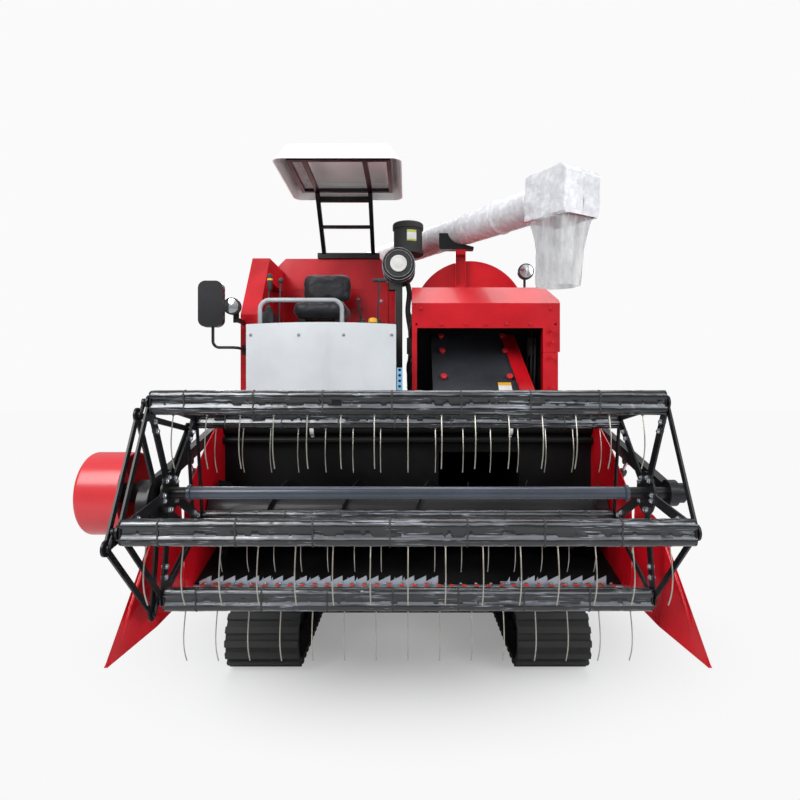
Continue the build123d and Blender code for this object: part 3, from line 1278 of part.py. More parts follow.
def reel_bat(angle):
    """Batten tube and tine tube, joined by clamps, with stubs, crank and the row of tines."""
    y, z = bat_centre(angle)
    half = BAT_HALF_LENGTH
    bat = rod_x(-half, half, 0, BAT_TUBE_OFFSET, BAT_TUBE_RADIUS) + rod_x(-half, half, 0, -BAT_TUBE_OFFSET, BAT_TUBE_RADIUS)
    for side in (-1, 1):
        x0, x1 = sorted((side * (half - 8), side * half))
        bat += block(x0, x1, -BAT_TUBE_RADIUS, BAT_TUBE_RADIUS, -BAT_TUBE_OFFSET, BAT_TUBE_OFFSET)
    bat += rod_x(-half - 1, -CRANK_X - CRANK_THICKNESS, 0, 0, STUB_RADIUS)
    bat += rod_x(-half - 1, -half + 8, 0, 0, STUB_RADIUS)
    bat += rod_x(half - 8, SPIDER_X + SPIDER_THICKNESS + 4, 0, 0, STUB_RADIUS)
    ey, ez = ECCENTRIC_OFFSET
    turn = degrees(atan2(ez, ey))
    crank = Pos(ey / 2, ez / 2) * Rot(0, 0, turn) * SlotCenterToCenter(hypot(ey, ez), 34)
    bat += along_x(crank, -CRANK_X - CRANK_THICKNESS, -CRANK_X)
    bat += rod_x(-CRANK_PIN_END, -CRANK_X, ey, ez, CRANK_PIN_RADIUS)
    first = -TINE_PITCH * (TINE_COUNT - 1) / 2
    for i in range(TINE_COUNT):
        x = first + i * TINE_PITCH
        bat += along_x(tine_sketch(), x - TINE_SIZE / 2, x + TINE_SIZE / 2)
        if i % 2 == 0:
            bat += block(x - 8, x + 8, -12, 12, -10, 10)
    return Pos(0, y, z) * bat


def reel_arms():
    """Two lift arms with the axle's bearings, the eccentric's fixed hub and the drive's boss."""
    x0, x1 = REEL_ARM_X
    arms = []
    for side in (-1, 1):
        a, b = sorted((side * x0, side * x1))
        middle = side * (x0 + x1) / 2
        arm = bar((middle, *REEL_PIVOT), (middle, *REEL_AXLE), x1 - x0, 60)
        arm += rod_x(a, b, *REEL_PIVOT, 45) + rod_x(a, b, *REEL_AXLE, 58)
        ey, ez = REEL_EYE
        arm += block(a, b, ey - 16, ey + 16, ez + 30, ez + 60) & bar(
            (middle, *REEL_PIVOT), (middle, *REEL_AXLE), x1 - x0, 200)
        for e0, e1 in ((a, a + 9), (b - 9, b)):
            arm += block(e0, e1, ey - 16, ey + 16, ez, ez + 50) + rod_x(e0, e1, ey, ez, 16)
        arm -= rod_x(a + 9, b - 9, ey, ez, REEL_PIN + EYE_WALL + 8)
        arm += rod_x(a, b, ey, ez, REEL_PIN)
        arm -= rod_x(a, b, *REEL_PIVOT, REEL_PIVOT_PIN + RUNNING_CLEARANCE)
        arms.append(arm)
    centre = (REEL_AXLE[0] + ECCENTRIC_OFFSET[0], REEL_AXLE[1] + ECCENTRIC_OFFSET[1])
    right = arms[0] + rod_x(-x0, -ECCENTRIC_X + 4, *centre, ECCENTRIC_HUB)
    right += rod_x(-REEL_COVER_X[1] + 6, -x1, *REEL_AXLE, 45)
    right -= rod_x(-x0, -ECCENTRIC_X + 4, *REEL_AXLE, REEL_AXLE_RADIUS + 5)
    right -= rod_x(-x1 - 12, -x0, *REEL_AXLE, REEL_AXLE_RADIUS + RUNNING_CLEARANCE)
    left = arms[1] - rod_x(x0, x1, *REEL_AXLE, REEL_AXLE_RADIUS + RUNNING_CLEARANCE)
    left += rod_x(x1, x1 + 34, *REEL_AXLE, 44) - rod_x(x1, x1 + 12, *REEL_AXLE, REEL_AXLE_RADIUS + 4)
    return [right, left]


def reel_drive_cover():
    """Round cup over the reel drive, open towards the arm."""
    inner, outer = REEL_COVER_X
    cup = rod_x(-outer, -inner, *REEL_AXLE, REEL_COVER_RADIUS)
    cup = fillet(cup.edges().group_by(Axis.X)[0], 18)
    cup -= rod_x(-outer + 6, -inner, *REEL_AXLE, REEL_COVER_RADIUS - 6)
    return cup


def reel_sprocket():
    """Chain wheel of the reel drive, round the bearing boss inside the cup."""
    wheel = rod_x(-1300, -1286, *REEL_AXLE, 120) - rod_x(-1300, -1286, *REEL_AXLE, 45 + SEAT_GAP)
    for i in range(6):
        a = radians(60 * i)
        wheel -= rod_x(-1300, -1286, REEL_AXLE[0] + 82 * cos(a), REEL_AXLE[1] + 82 * sin(a), 18)
    return wheel


# ---- Cylinders ----
def cylinder_barrel(x, base, eye, barrel, pin, width, rod_radius):
    """Barrel from its base eye towards the rod's eye, bored for the rod."""
    radius, length = barrel
    turn = degrees(atan2(eye[1] - base[1], eye[0] - base[0]))
    start = pin + EYE_WALL + radius - pin
    neck = (pin + EYE_WALL) * 0.7
    body = rod_y(start, length, 0, 0, radius) + rod_y(length - 20, length, 0, 0, radius + 5)
    body += block(-width / 2, width / 2, 0, start + 5, -neck, neck)
    body += rod_x(-width / 2, width / 2, 0, 0, pin + EYE_WALL)
    body -= rod_x(-width / 2, width / 2, 0, 0, pin + RUNNING_CLEARANCE)
    body -= rod_y(pin + EYE_WALL + 30, length, 0, 0, rod_radius + RUNNING_CLEARANCE)
    return Pos(x, *base) * Rot(turn, 0, 0) * body


def cylinder_rod(x, base, eye, stroke_in, pin, slack, width, rod_radius):
    """Rod with its eye; stroke_in is how far the rod still reaches into the barrel at rest."""
    span = hypot(eye[0] - base[0], eye[1] - base[1])
    turn = degrees(atan2(eye[1] - base[1], eye[0] - base[0]))
    rod = rod_y(stroke_in, span, 0, 0, rod_radius)
    rod += Pos(0, span, 0) * rod_x(-width / 2, width / 2, 0, 0, pin + EYE_WALL)
    rod -= Pos(0, span, 0) * rod_x(-width / 2 - 5, width / 2 + 5, 0, 0, pin + slack)
    return Pos(x, *base) * Rot(turn, 0, 0) * rod


def lift_barrel():
    return cylinder_barrel(LIFT_CYLINDER_X, LIFT_BASE, LIFT_EYE, LIFT_BARREL, LIFT_PIN, 56, LIFT_ROD_RADIUS)


def lift_rod():
    return cylinder_rod(LIFT_CYLINDER_X, LIFT_BASE, LIFT_EYE, LIFT_BARREL[1] - 45, LIFT_PIN, LIFT_EYE_SLACK, 56,
                        LIFT_ROD_RADIUS)


def reel_barrels():
    left = cylinder_barrel(REEL_CYLINDER_X, REEL_BASE, REEL_EYE, REEL_BARREL, REEL_PIN, 20, REEL_ROD_RADIUS)
    return [left, mirror_x(left)]


def reel_rods():
    left = cylinder_rod(REEL_CYLINDER_X, REEL_BASE, REEL_EYE, 85, REEL_PIN, REEL_EYE_SLACK, 18, REEL_ROD_RADIUS)
    return [left, mirror_x(left)]


def straw_hood():
    """Sloping outlet hood on the thresher's back, open below and behind."""
    x0, x1 = 200, 960
    y = THRESHER_REAR
    outer = [(y, 1420), (y, 2400), (y + 170, 2360), (y + 350, 1900), (y + 350, 1420)]
    inner = [(y, 1420), (y, 2390), (y + 166, 2350), (y + 342, 1896), (y + 342, 1420)]
    hood = side_profile(outer, x0, x1) - side_profile(inner, x0 + SHEET, x1 - SHEET)
    return hood


def model():
    """Every node of the machine: name to shape or list of separate solids."""
    track_left = track()
    nodes = {
        "track_left": track_left,
        "track_right": mirror_x(track_left),
        "track_rollers": track_rollers(),
        "drive_sprockets": drive_sprockets(),
        "track_frames": track_frames(),
        "undercarriage": undercarriage(),
        "chassis_frame": chassis_frame(),
        "drive_gearbox": drive_gearbox(),
        "engine": engine(),
        "radiator": [radiator(), radiator_hinges()],
        "radiator_door": radiator_door(),
        "fuel_tank": fuel_tank(),
        "platform": platform(),
        "front_panel": front_panel(),
        "side_panel": side_panel(),
        "back_wall": back_wall(),
        "handrail": handrail(),
        "seat_base": seat_base(),
        "seat_cushions": seat_cushions(),
        "control_consoles": control_consoles() + control_levers(),
        "canopy_frame": canopy_frame(),
        "canopy": canopy(),
        "air_cleaner": [air_cleaner(), air_cleaner_bracket()],
        "mirror": mirror_and_arm(),
        "work_lamps": work_lamps(),
        "thresher_housing": thresher_housing(),
        "drive_pulleys": drive_pulleys() + side_door_pins(),
        "side_door": side_door(),
        "drum_cover": drum_cover(),
        "front_hood": front_hood(),
        "hood_columns": hood_columns() + [belt_guard()],
        "intake_cover": intake_cover(),
        "auger_rest": auger_rest(),
        "straw_hood": straw_hood(),
        "grain_tank": [grain_tank()] + lid_pins(),
        "tank_lid": tank_lid(),
        "unload_riser": unload_riser(),
        "unload_turret": unload_turret(),
        "unload_tube": unload_tube(),
        "unload_spout": unload_spout(),
        "spout_film": spout_film(),
        "feeder_house": feeder_house(),
        "header_trough": header_trough(),
        "side_plate_left": side_plate(),
        "cutter_bar": cutter_bar(),
        "header_auger": header_auger(),
        "reel_arms": reel_arms(),
        "reel_drive_cover": [reel_drive_cover(), reel_sprocket()],
        "reel": reel(),
        "reel_eccentric": reel_eccentric(),
        "lift_barrel": lift_barrel(),
        "lift_rod": lift_rod(),
        "reel_barrels": reel_barrels(),
        "reel_rods": reel_rods(),
    }
    nodes["side_plate_right"] = mirror_x(nodes["side_plate_left"])
    for i, angle in enumerate(bat_angles()):
        nodes[f"reel_bat_{i + 1}"] = reel_bat(angle)
    return nodes


def as_shape(node):
    return Compound(node) if isinstance(node, list) else node


def settle(shapes):
    """The move that puts the bounding box's bottom centre on the origin."""
    boxes = [shape.bounding_box() for shape in shapes.values()]
    low = [min(tuple(box.min)[i] for box in boxes) for i in range(3)]
    high = [max(tuple(box.max)[i] for box in boxes) for i in range(3)]
    return (-(low[0] + high[0]) / 2, -(low[1] + high[1]) / 2, -low[2])


SHAPES = {name: as_shape(node) for name, node in model().items()}
SHIFT = settle(SHAPES)
os.makedirs("parts", exist_ok=True)
for name, shape in SHAPES.items():
    export_step(Pos(*SHIFT) * shape, f"parts/{name}.step")
print("moved by", SHIFT)
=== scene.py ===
"""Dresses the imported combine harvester: camera, soft light, finishes and the fine pieces."""

import json
import logging
from dataclasses import dataclass, field
from enum import Enum
from math import cos, exp, hypot, pi, radians, sin, tau
from typing import Callable, Iterable, Sequence

import bmesh
import bpy
from mathutils import Matrix, Vector, noise

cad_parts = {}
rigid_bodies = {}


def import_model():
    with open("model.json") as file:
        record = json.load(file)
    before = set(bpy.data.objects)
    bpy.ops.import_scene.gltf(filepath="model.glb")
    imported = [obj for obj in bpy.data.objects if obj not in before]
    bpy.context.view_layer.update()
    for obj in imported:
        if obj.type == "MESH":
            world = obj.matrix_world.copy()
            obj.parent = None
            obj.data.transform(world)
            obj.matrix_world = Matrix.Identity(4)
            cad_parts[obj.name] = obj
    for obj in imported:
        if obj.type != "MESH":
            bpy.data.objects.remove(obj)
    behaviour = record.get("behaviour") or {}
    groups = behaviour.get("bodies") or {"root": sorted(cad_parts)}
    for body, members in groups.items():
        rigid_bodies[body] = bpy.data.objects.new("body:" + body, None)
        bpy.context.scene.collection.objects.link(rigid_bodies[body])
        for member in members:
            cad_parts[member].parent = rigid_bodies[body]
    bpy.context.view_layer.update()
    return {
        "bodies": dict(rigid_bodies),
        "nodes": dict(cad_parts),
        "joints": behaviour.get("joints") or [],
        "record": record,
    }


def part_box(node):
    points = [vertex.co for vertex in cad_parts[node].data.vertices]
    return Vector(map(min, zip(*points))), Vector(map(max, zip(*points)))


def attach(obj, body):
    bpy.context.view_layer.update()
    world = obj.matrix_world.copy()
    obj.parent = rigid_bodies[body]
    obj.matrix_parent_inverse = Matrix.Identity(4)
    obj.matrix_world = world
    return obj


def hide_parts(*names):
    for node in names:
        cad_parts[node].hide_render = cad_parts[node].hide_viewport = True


LOG = logging.getLogger("combine")
Colour = tuple[float, float, float]


def srgb(red: int, green: int, blue: int) -> Colour:
    """A display colour from 0 to 255 as linear light."""
    def linear(value: int) -> float:
        share = value / 255
        return share / 12.92 if share <= 0.04045 else ((share + 0.055) / 1.055) ** 2.4
    return linear(red), linear(green), linear(blue)


# ---- Shader graphs ----
class Sock:
    """A shader socket that adds Math nodes when it is used in an expression."""

    def __init__(self, graph: "Graph", socket: bpy.types.NodeSocket) -> None:
        """Keeps the graph and the output socket."""
        self.graph = graph
        self.socket = socket

    def _math(self, operation: str, first: "Sock | float", second: "Sock | float") -> "Sock":
        """One Math node on two values."""
        return self.graph.node("ShaderNodeMath", {"operation": operation}, {0: first, 1: second})

    def __add__(self, other: "Sock | float") -> "Sock":
        """Sum."""
        return self._math("ADD", self, other)

    __radd__ = __add__

    def __sub__(self, other: "Sock | float") -> "Sock":
        """Difference."""
        return self._math("SUBTRACT", self, other)

    def __rsub__(self, other: "Sock | float") -> "Sock":
        """Difference from a number."""
        return self._math("SUBTRACT", other, self)

    def __mul__(self, other: "Sock | float") -> "Sock":
        """Product."""
        return self._math("MULTIPLY", self, other)

    __rmul__ = __mul__

    def __pow__(self, other: float) -> "Sock":
        """Power."""
        return self._math("POWER", self, other)

    def step(self, low: float, high: float) -> "Sock":
        """0 below low, 1 above high, smooth between."""
        settings = {"interpolation_type": "SMOOTHSTEP"}
        return self.graph.node("ShaderNodeMapRange", settings, {0: self, 1: low, 2: high, 3: 0.0, 4: 1.0})


class Graph:
    """The node tree of one material, with a Principled surface."""

    def __init__(self, name: str) -> None:
        """Starts an empty material.

        Args:
            name: the material's name.
        """
        self.material = bpy.data.materials.new(name)
        self.material.use_nodes = True
        self.tree = self.material.node_tree
        self.tree.nodes.clear()
        self.output = self.tree.nodes.new("ShaderNodeOutputMaterial")
        self.surface = self.tree.nodes.new("ShaderNodeBsdfPrincipled")
        self.tree.links.new(self.surface.outputs[0], self.output.inputs["Surface"])
        self.place = self.node("ShaderNodeTexCoord", {}, {}, "Object")

    def node(self, kind: str, settings: dict, values: dict, out: int | str = 0) -> Sock:
        """Any node: its settings first, then the values or links of its sockets.

        Args:
            kind: the node's type.
            settings: attributes of the node.
            values: socket index or name to a number, a tuple or a Sock.
            out: the output that is wanted.

        Returns:
            The output, ready for expressions.
        """
        made = self.tree.nodes.new(kind)
        for key, value in settings.items():
            setattr(made, key, value)
        for key, value in values.items():
            if isinstance(value, Sock):
                self.tree.links.new(value.socket, made.inputs[key])
            else:
                made.inputs[key].default_value = value
        return Sock(self, made.outputs[out])

    def spots(self, scale: float, stretch: Sequence[float] = (1, 1, 1), detail: float = 3.0,
              shift: float = 0.0) -> Sock:
        """Noise from 0 to 1 on object coordinates.

        Args:
            scale: noise scale per metre.
            stretch: factor on each axis.
            detail: octaves.
            shift: moves the pattern, to decorrelate two of them.

        Returns:
            The noise factor.
        """
        moved = self.node("ShaderNodeMapping", {}, {"Vector": self.place, "Scale": tuple(stretch),
                                                    "Location": (shift, shift * 1.7, -shift)})
        return self.node("ShaderNodeTexNoise", {}, {"Vector": moved, "Scale": scale, "Detail": detail,
                                                    "Roughness": 0.55})

    def mix(self, share: Sock | float, first: Sock | Colour, second: Sock | Colour) -> Sock:
        """Blends two colours."""
        def four(value: Sock | Colour) -> Sock | tuple:
            return value if isinstance(value, Sock) else (*value, 1.0)
        return self.node("ShaderNodeMix", {"data_type": "RGBA"},
                         {0: share, 6: four(first), 7: four(second)}, 2)

    def upward(self) -> Sock:
        """How much a face looks up, from -1 to 1."""
        normal = self.node("ShaderNodeNewGeometry", {}, {}, "Normal")
        return self.node("ShaderNodeSeparateXYZ", {}, {0: normal}, 2)

    def bump(self, height: Sock, strength: float, distance: float) -> None:
        """Feeds Normal from a height."""
        made = self.node("ShaderNodeBump", {}, {"Height": height, "Strength": strength, "Distance": distance})
        self.tree.links.new(made.socket, self.surface.inputs["Normal"])

    def feed(self, **values: "Sock | float | tuple") -> None:
        """Sets or links inputs of the surface; an underscore in a name stands for a space."""
        for key, value in values.items():
            socket = self.surface.inputs[key.replace("_", " ")]
            if isinstance(value, Sock):
                self.tree.links.new(value.socket, socket)
            else:
                socket.default_value = value


@dataclass(frozen=True)
class Finish:
    """What one kind of surface looks like.

    Attributes:
        name: the material's name.
        colour: base colour, linear.
        rough: mean roughness.
    """

    name: str
    colour: Colour
    rough: float = 0.4

    def material(self) -> bpy.types.Material:
        """The material, made once."""
        made = bpy.data.materials.get(self.name)
        if made is None:
            graph = Graph(self.name)
            self.dress(graph)
            made = graph.material
        return made

    def dress(self, graph: Graph) -> None:
        """Adds this finish's nodes."""
        raise NotImplementedError


@dataclass(frozen=True)
class Paint(Finish):
    """Sprayed enamel with soft dust on what looks up, faint streaks and orange peel.

    Attributes:
        dust: how much dust lies on upper faces.
        coat: strength of the clear layer.
        metal: metallic share.
        cloud: strength of the slow change of shade.
        gloss: strength of the reflection under the clear layer.
    """

    dust: float = 0.1
    coat: float = 0.35
    metal: float = 0.0
    cloud: float = 1.0
    gloss: float = 0.3

    def dress(self, graph: Graph) -> None:
        """Adds this finish's nodes."""
        broad = graph.spots(2.2, detail=4)
        streak = graph.spots(7.0, (1, 1, 0.18), shift=3.0)
        grit = graph.spots(55.0, detail=5, shift=9.0)
        darker = tuple(part * 0.72 for part in self.colour)
        lighter = tuple(min(1.0, part * 1.12 + 0.004) for part in self.colour)
        shade = graph.mix(0.5 + (broad.step(0.3, 0.7) - 0.5) * self.cloud, darker, lighter)
        shade = graph.mix(streak.step(0.56, 0.75) * 0.22, shade, darker)
        dusty = graph.upward().step(0.35, 0.95) * grit.step(0.35, 0.8) * self.dust
        shade = graph.mix(dusty, shade, srgb(176, 166, 150))
        graph.feed(Base_Color=shade, Roughness=self.rough + (broad - 0.5) * 0.22 + dusty * 0.4,
                   Metallic=self.metal, Coat_Weight=self.coat, Coat_Roughness=0.12,
                   Specular_IOR_Level=self.gloss)
        graph.bump(graph.spots(170.0, detail=2) * 0.6 + graph.spots(5.0, shift=5.0) * 0.8, 0.12, 0.002)


@dataclass(frozen=True)
class Rubber(Finish):
    """Black rubber with dry dust in its grain."""

    def dress(self, graph: Graph) -> None:
        """Adds this finish's nodes."""
        grain = graph.spots(90.0, detail=6)
        broad = graph.spots(4.0, shift=2.0)
        shade = graph.mix(broad.step(0.35, 0.75) * 0.5, self.colour, srgb(30, 29, 30))
        graph.feed(Base_Color=shade, Roughness=self.rough + (grain - 0.5) * 0.2)
        graph.bump(grain, 0.3, 0.0015)


@dataclass(frozen=True)
class Steel(Finish):
    """Bare or plated steel, brushed along one axis.

    Attributes:
        along: stretch of the brush marks.
        rust: share of brown film.
    """

    along: tuple[float, float, float] = (0.05, 1, 1)
    rust: float = 0.15

    def dress(self, graph: Graph) -> None:
        """Adds this finish's nodes."""
        marks = graph.spots(260.0, self.along, detail=2)
        cloud = graph.spots(9.0, detail=5, shift=4.0)
        shade = graph.mix(marks.step(0.3, 0.7), tuple(part * 0.8 for part in self.colour), self.colour)
        shade = graph.mix(cloud.step(0.58, 0.78) * self.rust, shade, srgb(96, 62, 40))
        graph.feed(Base_Color=shade, Roughness=self.rough + (marks - 0.5) * 0.25, Metallic=0.85)
        graph.bump(marks, 0.08, 0.001)


@dataclass(frozen=True)
class Wrap(Finish):
    """Stretch film wound tightly over a bar: folds, and painted highlights as bright streaks, fold crests and
    a band on the upper faces.

    Attributes:
        painted_glint: colour of the painted highlights.
        lines: stretch of the folds.
        amount: share of the painted highlight streaks.
    """

    painted_glint: Colour = (0.6, 0.6, 0.6)
    lines: tuple[float, float, float] = (1, 1, 1)
    amount: float = 0.5

    def dress(self, graph: Graph) -> None:
        """Adds this finish's nodes."""
        folds = graph.spots(52.0, self.lines, detail=6)
        fine = graph.spots(170.0, self.lines, detail=4, shift=6.0)
        highlight_patches = graph.spots(6.0, (1, 1, 1), detail=4, shift=2.0)
        # Painted highlight: a band on the upper front of each tube, where an overhead lamp would shine,
        # broken by the folds.
        edge = graph.upward().step(0.1, 0.3) * (1 - graph.upward().step(0.42, 0.62)) * folds.step(0.25, 0.6)
        # Painted highlights: bright streaks in patches; the next line adds fold crests and the upper band,
        # all in the pale highlight colour.
        streaks = fine.step(0.54, 0.66) * highlight_patches.step(0.42, 0.66) * self.amount
        share = streaks + folds.step(0.64, 0.7) * 0.4 + edge * 0.28
        graph.feed(Base_Color=graph.mix(share, self.colour, self.painted_glint),
                   Roughness=self.rough + (fine - 0.5) * 0.2, Coat_Weight=0.5, Coat_Roughness=0.08)
        graph.bump(folds * 0.8 + fine * 0.35, 0.6, 0.004)


@dataclass(frozen=True)
class Film(Finish):
    """Clear sheet film that shows what is under it.

    Attributes:
        thin: opacity where the film is single.
        thick: opacity along folds.
        lines: stretch of the folds.
    """

    thin: float = 0.35
    thick: float = 0.9
    lines: tuple[float, float, float] = (1, 1, 1)

    def dress(self, graph: Graph) -> None:
        """Adds this finish's nodes."""
        folds = graph.spots(7.0, self.lines, detail=5)
        fine = graph.spots(26.0, self.lines, detail=3, shift=6.0)
        cover = self.thin + folds.step(0.4, 0.62) * (self.thick - self.thin)
        shade = graph.mix(fine.step(0.35, 0.7), tuple(part * 0.82 for part in self.colour), self.colour)
        graph.feed(Base_Color=shade, Roughness=self.rough + (fine - 0.5) * 0.2, Alpha=cover)
        graph.bump(folds + fine * 0.35, 0.7, 0.012)


@dataclass(frozen=True)
class Moulded(Finish):
    """Plastic or coated cloth with a fine grain.

    Attributes:
        under: painted shade for faces that look down, a darker and warmer colour, if given.
        grain: scale of the grain.
        depth: strength of the grain.
    """

    under: Colour | None = None
    grain: float = 220.0
    depth: float = 0.12
    sheen: float = 0.0

    def dress(self, graph: Graph) -> None:
        """Adds this finish's nodes."""
        cloud = graph.spots(3.0, detail=5)
        fine = graph.spots(self.grain, detail=3, shift=1.0)
        shade = graph.mix(cloud.step(0.3, 0.75), tuple(part * 0.86 for part in self.colour), self.colour)
        # Painted shade: faces that look down take the under colour.
        if self.under is not None:
            shade = graph.mix((0 - graph.upward()).step(0.2, 0.6), shade, self.under)
        graph.feed(Base_Color=shade, Roughness=self.rough + (fine - 0.5) * 0.15, Sheen_Weight=self.sheen,
                   Specular_IOR_Level=0.25)
        graph.bump(fine + graph.spots(14.0, shift=8.0) * 0.5, self.depth, 0.002)


@dataclass(frozen=True)
class Lens(Finish):
    """Clear glass of a lamp, or a mirror, by its opacity and metal share.

    Attributes:
        metal: metallic share.
        solid: opacity.
    """

    metal: float = 0.0
    solid: float = 0.3

    def dress(self, graph: Graph) -> None:
        """Adds this finish's nodes."""
        smear = graph.spots(18.0, detail=4)
        graph.feed(Base_Color=graph.mix(smear.step(0.4, 0.8), self.colour, srgb(190, 192, 196)),
                   Roughness=self.rough + (smear - 0.4) * 0.08, Metallic=self.metal, Alpha=self.solid)
        graph.bump(smear, 0.02, 0.001)


RED = Paint("red_enamel", srgb(196, 8, 26), 0.3, dust=0.03, coat=0.3)
BLACK = Paint("black_enamel", srgb(16, 16, 19), 0.4, dust=0.04, coat=0.15)
DARK_GREY = Paint("dark_grey_enamel", srgb(50, 52, 58), 0.42, dust=0.03, coat=0.15)
AXLE_GREY = Paint("blue_grey_enamel", srgb(64, 70, 82), 0.3, dust=0.03, coat=0.4)
SILVER = Paint("silver_sheet_paint", srgb(216, 220, 223), 0.38, dust=0.0, coat=0.2, metal=0.1, cloud=0.3)
ORANGE = Paint("orange_enamel", srgb(205, 58, 24), 0.4, dust=0.05)
LABEL_GREEN = Paint("label_green", srgb(196, 206, 84), 0.5, dust=0.0, coat=0.1)
PALE_TUBE = Paint("pale_tube_paint", srgb(170, 174, 178), 0.35, dust=0.1, coat=0.3)
SKY = Paint("light_blue_enamel", srgb(120, 170, 205), 0.4, dust=0.1)
YELLOW = Paint("yellow_enamel", srgb(238, 176, 40), 0.4, dust=0.1)
WHITE_PLATE = Paint("white_plate", srgb(232, 232, 228), 0.45, dust=0.05, coat=0.1)
# Painted shade: black paint made darker than black enamel is, with little reflection, for recessed parts and
# the sheets inside the hood.
BLACK_WITH_PAINTED_SHADE = Paint("black_enamel_painted_shade", srgb(7, 7, 9), 0.5, dust=0.01, coat=0.04, gloss=0.12)
RUBBER = Rubber("track_rubber", srgb(9, 9, 10), 0.55)
KNIFE = Steel("knife_steel", srgb(128, 137, 152), 0.38, rust=0.25)
BRIGHT = Steel("bright_steel", srgb(205, 208, 212), 0.25, rust=0.03)
CAST = Steel("cast_iron", srgb(96, 92, 90), 0.6, rust=0.5)
WIRE = Steel("tine_wire", srgb(178, 174, 164), 0.34, rust=0.1)
# Painted highlight: the pale second colour of the black film stands for light glinting on it.
DARK_WRAP = Wrap("dark_film_wrap", srgb(9, 9, 12), 0.17, painted_glint=srgb(206, 211, 220), lines=(0.05, 1, 1))
PALE_FILM = Film("pale_tube_film", srgb(232, 233, 237), 0.26, thin=0.9, thick=1.0)
BAG_FILM = Film("bag_film", srgb(214, 214, 216), 0.28, thin=0.4, thick=0.88, lines=(1, 1, 0.25))
# Painted shade: the canopy's under colour darkens and warms its underside.
CANOPY = Moulded("canopy_plastic", srgb(176, 177, 176), 0.5, under=srgb(118, 90, 81), depth=0.06)
VINYL = Moulded("black_vinyl", srgb(38, 39, 44), 0.42, grain=120.0, depth=0.35, sheen=0.2)
BLACK_PLASTIC = Moulded("black_plastic", srgb(30, 30, 33), 0.5)
RED_PLASTIC = Moulded("red_plastic", srgb(206, 34, 48), 0.28, depth=0.05)
WHITE_PLASTIC = Moulded("white_plastic", srgb(226, 226, 222), 0.4)
GLASS = Lens("lamp_glass", srgb(225, 230, 235), 0.06, solid=0.35)
MIRROR = Lens("mirror_glass", srgb(190, 196, 202), 0.04, metal=1.0, solid=1.0)
REFLECTOR = Lens("lamp_reflector", srgb(235, 236, 238), 0.12, metal=1.0, solid=1.0)

SLOT_FINISH: dict[str, Finish] = {
    "track_rubber": RUBBER, "black_steel": BLACK, "cast_iron": CAST, "silver_sheet": SILVER,
    "red_paint": RED, "grey_tube": PALE_TUBE, "seat_vinyl": VINYL, "canopy_plastic": CANOPY,
    "black_plastic": BLACK_PLASTIC, "red_plastic": RED_PLASTIC, "lamp_glass": REFLECTOR,
    "clear_film": BAG_FILM, "knife_steel": KNIFE, "chrome_rod": BRIGHT, "wrapped_steel": DARK_WRAP,
}
NODE_FINISH: dict[str, Finish] = {
    # The trough, feeder house and track rollers take black paint with painted shade.
    "header_trough": BLACK_WITH_PAINTED_SHADE, "header_auger": BLACK, "feeder_house": BLACK_WITH_PAINTED_SHADE,
    "track_rollers": BLACK_WITH_PAINTED_SHADE,
    "intake_cover": DARK_GREY, "control_consoles": DARK_GREY, "drive_pulleys": CAST,
    "lift_barrel": DARK_GREY, "reel_barrels": DARK_GREY, "radiator_door": DARK_GREY, "work_lamps": BLACK,
}


